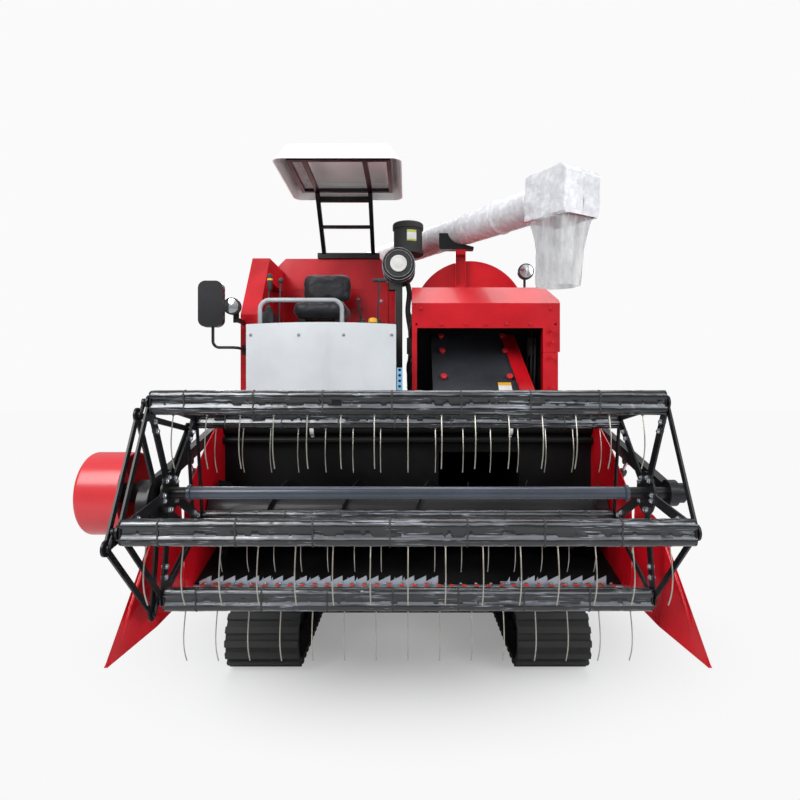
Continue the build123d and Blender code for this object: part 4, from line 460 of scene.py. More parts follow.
# ---- Meshes ----
@dataclass
class Form:
    """A mesh under construction, in row metres.

    Attributes:
        mesh: the bmesh that shapes are added to.
    """

    mesh: bmesh.types.BMesh = field(default_factory=bmesh.new)

    def rings(self, rows: Sequence[Sequence[Vector]], capped: bool = True, looped: bool = False,
              seam: bool = False) -> "Form":
        """Skins a list of closed rings.

        Args:
            rows: rings of equal length.
            capped: closes the first and last ring.
            looped: joins the last ring to the first.
            seam: leaves every ring open between its last and first point.

        Returns:
            The form itself.
        """
        made = [[self.mesh.verts.new(point) for point in row] for row in rows]
        count = len(made[0])
        pairs = list(zip(made, made[1:])) + ([(made[-1], made[0])] if looped else [])
        for near, far in pairs:
            for i in range(count - 1 if seam else count):
                j = (i + 1) % count
                self.mesh.faces.new((near[i], near[j], far[j], far[i]))
        if capped and not looped:
            self.mesh.faces.new(made[0][::-1])
            self.mesh.faces.new(made[-1])
        return self

    def tube(self, path: Sequence[Vector], radius: float | Callable[[float], float], sides: int = 12,
             capped: bool = True) -> "Form":
        """A round tube along a path.

        Args:
            path: points of the centre line.
            radius: one radius, or a function of the share along the path.
            sides: sides of the section.
            capped: closes both ends.

        Returns:
            The form itself.
        """
        points = [Vector(point) for point in path]
        rows = []
        side = None
        for i, point in enumerate(points):
            ahead = points[min(i + 1, len(points) - 1)] - points[max(i - 1, 0)]
            ahead.normalize()
            if side is None:
                side = ahead.orthogonal().normalized()
            side = (side - ahead * side.dot(ahead)).normalized()
            up = ahead.cross(side)
            size = radius(i / (len(points) - 1)) if callable(radius) else radius
            rows.append([point + (side * cos(tau * k / sides) + up * sin(tau * k / sides)) * size
                         for k in range(sides)])
        return self.rings(rows, capped)

    def lathe(self, base: Vector, axis: Vector, profile: Sequence[tuple[float, float]],
              sides: int = 24) -> "Form":
        """A turned shape.

        Args:
            base: origin of the profile.
            axis: direction of the axis.
            profile: (distance along the axis, radius), from end to end.
            sides: sides round the axis.

        Returns:
            The form itself.
        """
        axis = Vector(axis).normalized()
        side = axis.orthogonal().normalized()
        up = axis.cross(side)
        rows = [[Vector(base) + axis * along
                 + (side * cos(tau * k / sides) + up * sin(tau * k / sides)) * max(r, 1e-5)
                 for k in range(sides)] for along, r in profile]
        return self.rings(rows)

    def slab(self, low: Vector, high: Vector, bevel: float = 0.0) -> "Form":
        """A box with its edges rounded off.

        Args:
            low: lowest corner.
            high: highest corner.
            bevel: width of the rounding.

        Returns:
            The form itself.
        """
        size = Vector(high) - Vector(low)
        place = Matrix.Translation((Vector(low) + Vector(high)) / 2) @ Matrix.Diagonal((*size, 1))
        made = bmesh.ops.create_cube(self.mesh, size=1, matrix=place)["verts"]
        if bevel:
            edges = {edge for vert in made for edge in vert.link_edges}
            bmesh.ops.bevel(self.mesh, geom=list(edges), offset=bevel, segments=2, affect="EDGES",
                            profile=0.6)
        return self

    def done(self, name: str, finish: Finish, smooth: bool = True) -> bpy.types.Object:
        """The finished object.

        Args:
            name: object name.
            finish: its finish.
            smooth: shades it smooth by angle.

        Returns:
            The object, linked to the scene.
        """
        bmesh.ops.recalc_face_normals(self.mesh, faces=self.mesh.faces)
        data = bpy.data.meshes.new(name)
        self.mesh.to_mesh(data)
        self.mesh.free()
        made = bpy.data.objects.new(name, data)
        bpy.context.scene.collection.objects.link(made)
        data.materials.append(finish.material())
        if smooth:
            data.shade_smooth()
            data.set_sharp_from_angle(angle=radians(38))
        return made


def place_piece(made: bpy.types.Object, body: str) -> bpy.types.Object:
    """Rides a finished piece on its body."""
    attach(made, body)
    LOG.info("%s rides on %s: %d faces", made.name, body, len(made.data.polygons))
    return made


class Scatter:
    """A Geometry Nodes tree that sets one piece on every point, facing the point's own way."""

    def __init__(self) -> None:
        """Builds the tree with its named inputs."""
        tree = bpy.data.node_groups.new("scatter", "GeometryNodeTree")
        face = tree.interface
        face.new_socket(name="Geometry", in_out="INPUT", socket_type="NodeSocketGeometry")
        self.keys = {name: face.new_socket(name=name, in_out="INPUT", socket_type=kind).identifier
                     for name, kind in (("Piece", "NodeSocketObject"), ("Finish", "NodeSocketMaterial"),
                                        ("Size", "NodeSocketFloat"))}
        face.new_socket(name="Geometry", in_out="OUTPUT", socket_type="NodeSocketGeometry")
        make = tree.nodes.new
        start, end = make("NodeGroupInput"), make("NodeGroupOutput")
        piece = make("GeometryNodeObjectInfo")
        facing = make("GeometryNodeInputNamedAttribute")
        facing.data_type = "FLOAT_VECTOR"
        facing.inputs["Name"].default_value = "facing"
        turn = make("FunctionNodeAlignRotationToVector")
        turn.axis = "Z"
        copies = make("GeometryNodeInstanceOnPoints")
        real = make("GeometryNodeRealizeInstances")
        dress = make("GeometryNodeSetMaterial")
        link = tree.links.new
        link(start.outputs["Piece"], piece.inputs["Object"])
        link(facing.outputs[0], turn.inputs["Vector"])
        link(start.outputs["Geometry"], copies.inputs["Points"])
        link(piece.outputs["Geometry"], copies.inputs["Instance"])
        link(turn.outputs[0], copies.inputs["Rotation"])
        link(start.outputs["Size"], copies.inputs["Scale"])
        link(copies.outputs[0], real.inputs[0])
        link(real.outputs[0], dress.inputs["Geometry"])
        link(start.outputs["Finish"], dress.inputs["Material"])
        link(dress.outputs[0], end.inputs[0])
        self.tree = tree

    def spread(self, name: str, piece: Form, points: Iterable[tuple[Vector, Vector]], finish: Finish,
               size: float = 1.0) -> bpy.types.Object:
        """Copies a small piece to many places, as one plain mesh.

        Args:
            name: name of the result.
            piece: the form that is repeated, about the origin and facing +Z.
            points: (place, facing) of each copy.
            finish: finish of the copies.
            size: scale of the copies.

        Returns:
            The object.
        """
        rows = list(points)
        source = piece.done(name + "_one", finish)
        data = bpy.data.meshes.new(name + "_points")
        data.from_pydata([tuple(place) for place, _ in rows], [], [])
        layer = data.attributes.new("facing", "FLOAT_VECTOR", "POINT")
        for i, (_, facing) in enumerate(rows):
            layer.data[i].vector = facing
        holder = bpy.data.objects.new(name + "_points", data)
        bpy.context.scene.collection.objects.link(holder)
        modifier = holder.modifiers.new("scatter", "NODES")
        modifier.node_group = self.tree
        modifier[self.keys["Piece"]] = source
        modifier[self.keys["Finish"]] = finish.material()
        modifier[self.keys["Size"]] = size
        holder.update_tag()
        graph = bpy.context.evaluated_depsgraph_get()
        mesh = bpy.data.meshes.new_from_object(holder.evaluated_get(graph))
        mesh.name = name
        made = bpy.data.objects.new(name, mesh)
        bpy.context.scene.collection.objects.link(made)
        bpy.data.objects.remove(holder)
        bpy.data.objects.remove(source)
        mesh.shade_smooth()
        mesh.set_sharp_from_angle(angle=radians(38))
        return made


def bolt_form(radius: float = 0.011) -> Form:
    """A hexagon head on its washer, facing +Z."""
    form = Form()
    form.lathe(Vector((0, 0, 0)), Vector((0, 0, 1)), [(-0.001, radius * 1.45), (0.002, radius * 1.45)], 14)
    form.lathe(Vector((0, 0, 0.002)), Vector((0, 0, 1)),
               [(0, radius), (0.006, radius), (0.0075, radius * 0.8)], 6)
    return form


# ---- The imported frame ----
@dataclass
class Machine:
    """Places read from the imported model.

    Attributes:
        joints: joint name to its place.
    """

    frame: dict
    joints: dict[str, Vector] = field(default_factory=dict)

    def __post_init__(self) -> None:
        """Reads the joints' places."""
        for joint in self.frame["record"]["behaviour"]["joints"]:
            if "pos_m" in joint:
                self.joints[joint["name"]] = Vector(joint["pos_m"])

    def low(self, node: str) -> Vector:
        """Lowest corner of a node."""
        return Vector(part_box(node)[0])

    def high(self, node: str) -> Vector:
        """Highest corner of a node."""
        return Vector(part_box(node)[1])

    def inside(self, node: str, x: float, y: float, z: float) -> Vector:
        """A place in a node's box by its shares from 0 to 1."""
        low, high = self.low(node), self.high(node)
        return Vector((low.x + (high.x - low.x) * x, low.y + (high.y - low.y) * y,
                       low.z + (high.z - low.z) * z))

    def dress_nodes(self) -> None:
        """Gives every carried-over node its finish."""
        slots = {row["node"]: row["material_slot"] for row in self.frame["record"]["subparts"]}
        for name, node in self.frame["nodes"].items():
            finish = NODE_FINISH.get(name, SLOT_FINISH[slots[name]])
            node.data.materials.clear()
            node.data.materials.append(finish.material())


@dataclass
class SubAssembly:
    """A group of pieces of the machine.

    Attributes:
        machine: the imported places.
        scatter: the tree that repeats small pieces.
    """

    machine: Machine
    scatter: Scatter

    def build(self) -> None:
        """Makes the group's pieces."""
        raise NotImplementedError


class Facing(Enum):
    """Directions that small pieces look in."""

    FRONT = (0.0, -1.0, 0.0)
    UP = (0.0, 0.0, 1.0)
    LEFT = (1.0, 0.0, 0.0)
    RIGHT = (-1.0, 0.0, 0.0)
    BACK = (0.0, 1.0, 0.0)

    @property
    def way(self) -> Vector:
        """The direction as a vector."""
        return Vector(self.value)


@dataclass
class ReelBats(SubAssembly):
    """Five pairs of tubes in stretch film, tied at intervals, with their spring tines."""

    count: int = 5
    spread: float = 0.026
    tube: float = 0.0225
    skin: float = 0.002
    half: float = 1.045
    tie_gap: float = 0.28
    tine_pitch: float = 0.1366
    tine_count: int = 15
    tine_drop: float = 0.222
    stations: int = 300
    around: int = 36

    def section(self, angle: float, grow: float) -> tuple[float, float]:
        """A point of the figure of eight round the two tubes, as (y, z)."""
        reach = self.tube + self.skin + grow
        upper = angle < pi
        turn = radians(-52) + radians(284) * (angle / pi if upper else angle / pi - 1)
        if not upper:
            turn += pi
        return reach * cos(turn), reach * sin(turn) + (self.spread if upper else -self.spread)

    def wrap(self, centre: Vector, seed: float) -> Form:
        """The film-wound pair of tubes as one skin.

        Args:
            centre: the bat's axis.
            seed: moves the folds.

        Returns:
            The form.
        """
        rows = []
        for i in range(self.stations + 1):
            x = -self.half + 2 * self.half * i / self.stations
            tie = abs((x + self.half) / self.tie_gap % 1 - 0.5) * self.tie_gap
            pinch = -0.0014 * exp(-((self.tie_gap / 2 - tie) / 0.008) ** 2)
            row = []
            for k in range(self.around):
                angle = tau * (k + 0.5) / self.around
                fold = noise.noise(Vector((x * 16 + seed, cos(angle) * 1.6, sin(angle) * 1.6))) * 0.0012
                fold += noise.noise(Vector((x * 40, cos(angle) * 5 + seed, sin(angle) * 5))) * 0.0006
                y, z = self.section(angle, fold + pinch)
                row.append(centre + Vector((x, y, z)))
            rows.append(row)
        return Form().rings(rows)

    def tie(self) -> Form:
        """A cable tie round the pair with its head, about the origin."""
        form = Form()
        rows = []
        for x, grow in ((-0.003, 0.0), (-0.003, 0.0022), (0.003, 0.0022), (0.003, 0.0)):
            rows.append([Vector((-z, y, x)) for y, z in
                         (self.section(tau * (k + 0.5) / 20, grow) for k in range(20))])
        form.rings(rows, capped=False, looped=True)
        form.slab(Vector((-0.034, -0.0305, -0.0045)), Vector((-0.022, -0.0245, 0.0045)), 0.001)
        return form

    def tine(self) -> Form:
        """One spring tine that leaves the lower tube's underside; +Z of the form is the bat's +X."""
        start = self.spread + self.tube - 0.012
        path = [Vector((start + (self.tine_drop + 0.012) * share, bow, 0.0))
                for share, bow in ((0, 0.004), (0.06, 0.003), (0.14, -0.002), (0.3, -0.012), (0.5, -0.019),
                                   (0.68, -0.016),
                                   (0.84, -0.004), (1.0, 0.016))]
        form = Form().tube(Header.curve(path, 4), 0.0026, 8)
        form.lathe(Vector((start + 0.012, 0.003, 0)), Vector((1, 0, 0)),
                   [(-0.004, 0.0065), (0.003, 0.0065), (0.006, 0.003)], 10)
        return form

    def build(self) -> None:
        """Makes the group's pieces."""
        first = -self.tine_pitch * (self.tine_count - 1) / 2
        for i in range(1, self.count + 1):
            body = f"reel_bat_{i}"
            centre = self.machine.joints[f"{body}_turn"]
            skin = place_piece(self.wrap(centre, i * 7.3).done(f"bat_film_{i}", DARK_WRAP), body)
            along = Facing.LEFT.way
            ties = [(centre + along * (-self.half + self.tie_gap * (k + 0.5) + 0.0), along)
                    for k in range(int(2 * self.half / self.tie_gap))]
            tines = [(centre + along * (first + k * self.tine_pitch), along) for k in range(self.tine_count)]
            place_piece(self.scatter.spread(f"bat_ties_{i}", self.tie(), ties, BLACK_PLASTIC), body)
            wires = place_piece(self.scatter.spread(f"bat_tines_{i}", self.tine(), tines, WIRE), body)
            ends = self.crank_ends(centre)
            place_piece(ends.done(f"bat_ends_{i}", BLACK), body)
            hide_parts(body)
            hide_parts(body)

    def crank_ends(self, centre: Vector) -> Form:
        """End plates, stubs and the crank with its pin."""
        form = Form()
        for side in (-1, 1):
            x = side * (self.half - 0.004)
            low = centre + Vector((x - 0.004, -self.tube, -self.spread - 0.016))
            high = centre + Vector((x + 0.004, self.tube, self.spread + 0.016))
            form.slab(low, high, 0.002)
        form.lathe(centre + Vector((-self.half, 0, 0)), Vector((-1, 0, 0)),
                   [(0, 0.012), (0.024, 0.012), (0.024, 0.017), (0.034, 0.017), (0.034, 0.010),
                    (0.037, 0.009)], 20)
        form.lathe(centre + Vector((self.half, 0, 0)), Vector((1, 0, 0)),
                   [(0, 0.012), (0.0165, 0.012), (0.0165, 0.012), (0.018, 0.010)], 20)
        hub = self.machine.joints["reel_eccentric_spin"] - self.machine.joints["reel_spin"]
        hub.x = 0
        start = centre + Vector((-self.half - 0.029, 0, 0))
        path = [start, start + hub]
        form.tube(path, 0.0085, 10)
        form.lathe(start + hub, Vector((-1, 0, 0)),
                   [(-0.005, 0.014), (0.005, 0.014), (0.005, 0.008), (0.026, 0.008)], 16)
        return form


@dataclass
class ReelEnds(SubAssembly):
    """Bolts of the spiders, the axle's sleeve and a bearing cap."""

    def build(self) -> None:
        """Makes the group's pieces."""
        machine = self.machine
        axle = machine.joints["reel_spin"]
        centre = machine.inside("reel", 0.5, 0.5, 0.5).x
        out = machine.high("reel_bat_1").x - centre
        points = []
        for side in (-1, 1):
            face = side * (out + 0.001)
            way = Vector((side, 0, 0))
            for i in range(1, 6):
                bat = machine.joints[f"reel_bat_{i}_turn"]
                spoke = (bat - axle)
                spoke.x = 0
                across = spoke.cross(way).normalized()
                for share, aside in ((0.16, 0.012), (0.16, -0.012), (0.8, 0.0), (0.7, 0.0)):
                    spot = axle + spoke * share + across * aside
                    points.append((Vector((centre + face - side * 0.0045, spot.y, spot.z)), way))
        inner = [(place - way * 0.0105, -way) for place, way in points]
        bolts = self.scatter.spread("spider_bolts", bolt_form(0.009), points + inner, BRIGHT)
        place_piece(bolts, "reel")
        sleeve = Form()
        half = out - 0.09
        sleeve.lathe(Vector((centre, axle.y, axle.z)), Facing.LEFT.way,
                     [(-half, 0.0255), (-half, 0.036), (-half + 0.014, 0.036), (-half + 0.014, 0.0278),
                      (half - 0.014, 0.0278), (half - 0.014, 0.036), (half, 0.036), (half, 0.0255)], 40)
        place_piece(sleeve.done("axle_sleeve", AXLE_GREY), "reel")
        caps = Form()
        arm = machine.high("reel_arms").x
        caps.lathe(Vector((arm - 0.001, axle.y, axle.z)), Facing.LEFT.way,
                   [(0, 0.03), (0.006, 0.03), (0.01, 0.022), (0.012, 0.006)], 24)
        place_piece(caps.done("bearing_cap", BRIGHT), "reel_arms")


@dataclass
class Header(SubAssembly):
    """Guard rods, guides, clamps and bolts of the header."""

    rod: float = 0.009

    def saw_plates(self) -> None:
        """Saw-toothed strips before the knife's own, and the clips of its guards."""
        low, high = self.machine.low("cutter_bar"), self.machine.high("cutter_bar")
        foot = high.z - 0.042
        form = Form()
        for start, end in ((low.x + 0.03, low.x + 1.3), (low.x + 1.71, high.x - 0.03)):
            pitch = 0.062
            count = int((end - start) / pitch)
            for i in range(count):
                x = start + i * pitch
                outline = [(x, foot), (x + pitch, foot), (x + pitch, foot + 0.05), (x, foot + 0.02)]
                form.rings([[Vector((a, y, b)) for a, b in outline]
                            for y in (high.y - 0.0134, high.y - 0.0099)])
        place_piece(form.done("saw_plates", KNIFE, smooth=False), "header")
        count = 34
        clip = Form().slab(Vector((-0.011, -0.008, -0.001)), Vector((0.011, 0.008, 0.008)), 0.002)
        places = [(Vector((low.x + 0.05 + (high.x - low.x - 0.1) * i / (count - 1), high.y - 0.026, foot)),
                   Facing.UP.way)
                  for i in range(count)]
        place_piece(self.scatter.spread("guard_clips", clip, places, ORANGE), "header")

    def guard_rods(self) -> None:
        """Bent rods outside the divider points."""
        machine = self.machine
        for name, side in (("left", 1), ("right", -1)):
            node = f"side_plate_{name}"
            low, high = machine.low(node), machine.high(node)
            edge = high.x if side > 0 else low.x
            inner = low.x if side > 0 else high.x
            knife = machine.high("cutter_bar")
            foot = Vector((inner + (edge - inner) * 0.5, knife.y - 0.13, knife.z + 0.42))
            path = [foot, Vector((edge - side * 0.1, low.y + 0.4, knife.z + 0.4)),
                    Vector((edge - side * 0.08, low.y + 0.33, knife.z + 0.34)),
                    Vector((edge - side * 0.055, low.y + 0.15, low.z + 0.2)),
                    Vector((edge - side * 0.04, low.y + 0.1, low.z + 0.09))]
            path = self.curve(path)
            form = Form().tube(path, self.rod, 12)
            place_piece(form.done(f"guard_rod_{name}", RED), "header")

    @staticmethod
    def curve(points: Sequence[Vector], steps: int = 10) -> list[Vector]:
        """A smooth line through points (Catmull-Rom)."""
        row = [points[0]] + list(points) + [points[-1]]
        path = []
        for i in range(1, len(row) - 2):
            a, b, c, d = row[i - 1:i + 3]
            for k in range(steps):
                t = k / steps
                path.append(0.5 * ((2 * b) + (c - a) * t + (2 * a - 5 * b + 4 * c - d) * t * t
                                   + (3 * b - a - 3 * c + d) * t ** 3))
        path.append(points[-1])
        return path

    def build(self) -> None:
        """Makes the group's pieces."""
        self.guard_rods()
        machine = self.machine
        auger = machine.joints["header_auger_spin"]
        centre = auger.x
        guides = [(Vector((centre + x, auger.y - 0.149, auger.z + 0.02)), Facing.FRONT.way)
                  for x in (0.33, 0.46, 0.59)]
        guide = Form().lathe(Vector((0, 0, -0.004)), Vector((0, 0, 1)),
                             [(0, 0.026), (0.01, 0.026), (0.012, 0.016), (0.022, 0.014), (0.024, 0.006)], 20)
        place_piece(self.scatter.spread("finger_guides", guide, guides, WHITE_PLASTIC), "header_auger")
        top = machine.joints["reel_lift"]
        clamp = Form().lathe(Vector((0, 0, -0.012)), Vector((0, 0, 1)),
                             [(0, 0.0448), (0, 0.0475), (0.024, 0.0475),
                                                                          (0.024, 0.0448)], 28)
        clamp.slab(Vector((0.04, -0.008, -0.009)), Vector((0.06, 0.008, 0.009)), 0.002)
        places = [(Vector((centre + x, top.y, top.z)), Facing.LEFT.way) for x in (-0.58, 0.62)]
        place_piece(self.scatter.spread("tube_clamps", clamp, places, WHITE_PLASTIC), "header")
        knife = machine.high("cutter_bar")
        half = machine.high("header_trough").x - centre
        rivets = []
        count = 28
        for i in range(count):
            x = centre - half + 0.06 + (2 * half - 0.12) * i / (count - 1)
            rivets.append((Vector((x, auger.y - 0.302, knife.z - 0.031)), Facing.UP.way))
        head = Form().lathe(Vector((0, 0, -0.002)), Vector((0, 0, 1)),
                            [(0, 0.009), (0.004, 0.008), (0.006, 0.004)], 12)
        place_piece(self.scatter.spread("knife_rivets", head, rivets, BRIGHT), "header")
        self.saw_plates()
        bolts = []
        for side in (1, -1):
            x = centre + side * (half + 0.006)
            for y, z in ((-1.05, 1.25), (-1.05, 1.45), (-1.05, 1.62), (-1.2, 1.5), (-1.35, 1.35), (-1.5, 1.2),
                         (-1.5, 0.95), (-1.38, 0.97)):
                bolts.append((Vector((x, y, z)), Vector((side, 0, 0))))
        place_piece(self.scatter.spread("side_plate_bolts", bolt_form(0.01), bolts, BRIGHT), "header")


@dataclass
class Body(SubAssembly):
    """Bolts, knobs, a blank plate and the tank's ribs."""

    def build(self) -> None:
        """Makes the group's pieces."""
        machine = self.machine
        hood_low, hood_high = machine.low("front_hood"), machine.high("front_hood")
        points = []
        for share in (0.2, 0.36, 0.5, 0.64, 0.8):
            points.append((Vector((hood_low.x + (hood_high.x - hood_low.x) * share, hood_low.y,
                                   hood_low.z + 0.026)),
                           Facing.FRONT.way))
        for share in (0.06, 0.94):
            points.append((Vector((hood_low.x + (hood_high.x - hood_low.x) * share, hood_low.y,
                                   hood_low.z + 0.13)),
                           Facing.FRONT.way))
        columns = machine.high("hood_columns").x
        for z in (1.0, 1.3, 1.6, 1.9, 2.1, 2.2, 2.28):
            points.append((Vector((columns - 0.057, machine.low("hood_columns").y + 0.109, z)),
                           Facing.FRONT.way))
        place_piece(self.scatter.spread("hood_bolts", bolt_form(0.011), points, RED), "machine")
        self.cover_knobs()
        self.plates()
        self.side_details()

    def cover_knobs(self) -> None:
        """Six star knobs that hold the intake cover."""
        low, high = self.machine.low("intake_cover"), self.machine.high("intake_cover")
        run = Vector((0, high.y - low.y, high.z - low.z))
        way = Vector((0, -run.z, run.y)).normalized()
        points = []
        for x in (0.13, 0.9):
            for share in (0.3, 0.7, 0.95):
                spot = Vector((low.x + (high.x - low.x) * x, low.y, low.z)) + run * share
                points.append((spot, way))
        knob = Form().lathe(Vector((0, 0, -0.002)), Vector((0, 0, 1)),
                            [(0, 0.014), (0.012, 0.011), (0.014, 0.021), (0.026, 0.024), (0.032, 0.021),
                             (0.034, 0.01)], 10)
        place_piece(self.scatter.spread("cover_knobs", knob, points, RED_PLASTIC), "machine")

    def plates(self) -> None:
        """A blank pale plate with a yellow head at the foot of the intake cover."""
        low, high = self.machine.low("intake_cover"), self.machine.high("intake_cover")
        run = Vector((0, high.y - low.y, high.z - low.z))
        way = Vector((0, -run.z, run.y)).normalized()
        along = run.normalized()
        base = Vector((low.x + (high.x - low.x) * 0.83, low.y, low.z)) + along * 0.05 + way * 0.001
        for name, start, end, finish in (("blank_plate", 0.0, 0.085, WHITE_PLATE),
                                         ("plate_head", 0.085, 0.115, YELLOW)):
            rows = []
            for lift in (0.0, 0.0015):
                rows.append([base + along * a + Facing.LEFT.way * b + way * lift
                             for a, b in ((start, -0.045), (end, -0.045), (end, 0.045), (start, 0.045))])
            place_piece(Form().rings(rows).done(name, finish, smooth=False), "machine")

    def side_details(self) -> None:
        """Bolts round the side panels, the back and the tank."""
        machine = self.machine
        house_low, house_high = machine.low("thresher_housing"), machine.high("thresher_housing")
        points = []
        for share in (0.02, 0.16, 0.33, 0.5, 0.67, 0.84, 0.98):
            y = house_low.y + (house_high.y - house_low.y) * share
            points.append((Vector((house_high.x, y, house_high.z - 0.06)), Facing.LEFT.way))
            points.append((Vector((house_high.x, y, house_high.z - 1.17)), Facing.LEFT.way))
        for x in (0.06, 0.35, 0.65, 0.94):
            spot = house_low.x + (house_high.x - house_low.x) * x
            points.append((Vector((spot, house_high.y, house_low.z + 0.55)), Facing.BACK.way))
            points.append((Vector((spot, house_high.y, house_high.z - 0.05)), Facing.BACK.way))
        tank_low, tank_high = machine.low("grain_tank"), machine.high("grain_tank")
        for y in (0.04, 0.27, 0.5, 0.73, 0.96):
            spot = tank_low.y + (tank_high.y - tank_low.y) * y
            for z in (0.06, 1.27):
                points.append((Vector((tank_low.x, spot, tank_low.z + 0.68 + z)), Facing.RIGHT.way))
        place_piece(self.scatter.spread("panel_bolts", bolt_form(0.01), points, BRIGHT), "machine")
        ribs = Form()
        for y in (0.25, 0.5, 0.75):
            spot = tank_low.y + (tank_high.y - tank_low.y) * y
            ribs.slab(Vector((tank_low.x - 0.008, spot - 0.02, tank_low.z + 0.74)),
                      Vector((tank_low.x + 0.004, spot + 0.02, tank_low.z + 1.93)), 0.006)
        place_piece(ribs.done("tank_ribs", RED), "machine")


@dataclass
class Seat(SubAssembly):
    """Cushion and back with loose, wrinkled covers."""

    frames: int = 18
    voxel: float = 0.009
    cap: float = 0.016

    def shell(self, low: Vector, high: Vector, round_by: float, upright: bool) -> Form:
        """A crowned pillow form inside a box.

        Args:
            low: lowest corner.
            high: highest corner.
            round_by: share of the width that its corners turn in, 0 to 1.
            upright: its outline stands in X and Z instead of X and Y.

        Returns:
            The form.
        """
        middle, half = (low + high) / 2, (high - low) / 2
        thin, flat = (1, 2) if upright else (2, 1)
        rows = []
        for share, inset in ((-1, 0.16), (-0.72, 0.04), (-0.25, 0.0), (0.3, 0.0), (0.75, 0.05), (1, 0.2)):
            row = []
            for k in range(40):
                angle = tau * k / 40
                power = 2 / (2 + (1 - round_by) * 5)
                a = (abs(cos(angle)) ** power) * (1 if cos(angle) > 0 else -1) * half[0] * (1 - inset)
                b = (abs(sin(angle)) ** power) * (1 if sin(angle) > 0 else -1) * half[flat] * (1 - inset)
                point = middle.copy()
                point[0] += a
                point[flat] += b
                point[thin] += share * half[thin]
                row.append(point)
            rows.append(row)
        return Form().rings(rows)

    def puff(self, made: bpy.types.Object) -> None:
        """Remeshes a pillow and inflates it with cloth, capped, then wrinkles its cover."""
        context = bpy.context
        remesh = made.modifiers.new("remesh", "REMESH")
        remesh.mode = "VOXEL"
        remesh.voxel_size = self.voxel
        self.settle(made)
        rest = [vert.co.copy() for vert in made.data.vertices]
        cloth = made.modifiers.new("cloth", "CLOTH").settings
        cloth.use_pressure = True
        cloth.uniform_pressure_force = 4
        cloth.effector_weights.gravity = 0
        for frame in range(1, self.frames + 1):
            context.scene.frame_set(frame)
        self.settle(made)
        context.scene.frame_set(1)
        for vert, start in zip(made.data.vertices, rest):
            move = vert.co - start
            if move.length > self.cap:
                move *= self.cap / move.length
            fold = noise.noise(Vector((start.x * 9, start.y * 26, start.z * 22)))
            fold += 0.5 * noise.noise(start * 48)
            vert.co = start + move + vert.normal * fold * 0.0035
        made.data.shade_smooth()

    @staticmethod
    def settle(made: bpy.types.Object) -> None:
        """Applies the modifiers of an object."""
        graph = bpy.context.evaluated_depsgraph_get()
        mesh = bpy.data.meshes.new_from_object(made.evaluated_get(graph))
        made.modifiers.clear()
        made.data = mesh

    def build(self) -> None:
        """Makes the group's pieces."""
        low, high = self.machine.low("seat_cushions"), self.machine.high("seat_cushions")
        split = low.z + (high.z - low.z) * 0.3
        cushion = self.shell(low + Vector((0.016, 0.016, 0.016)),
                             Vector((high.x - 0.016, high.y - 0.075, split - 0.014)),
                             0.15, upright=False).done("seat_cushion", VINYL)
        back = self.shell(Vector((low.x + 0.028, high.y - 0.066, split + 0.034)),
                          high - Vector((0.028, 0.014, 0.016)),
                          0.55, upright=True).done("seat_back", VINYL)
        for made in (cushion, back):
            self.puff(made)
            place_piece(made, "machine")
        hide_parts("seat_cushions")


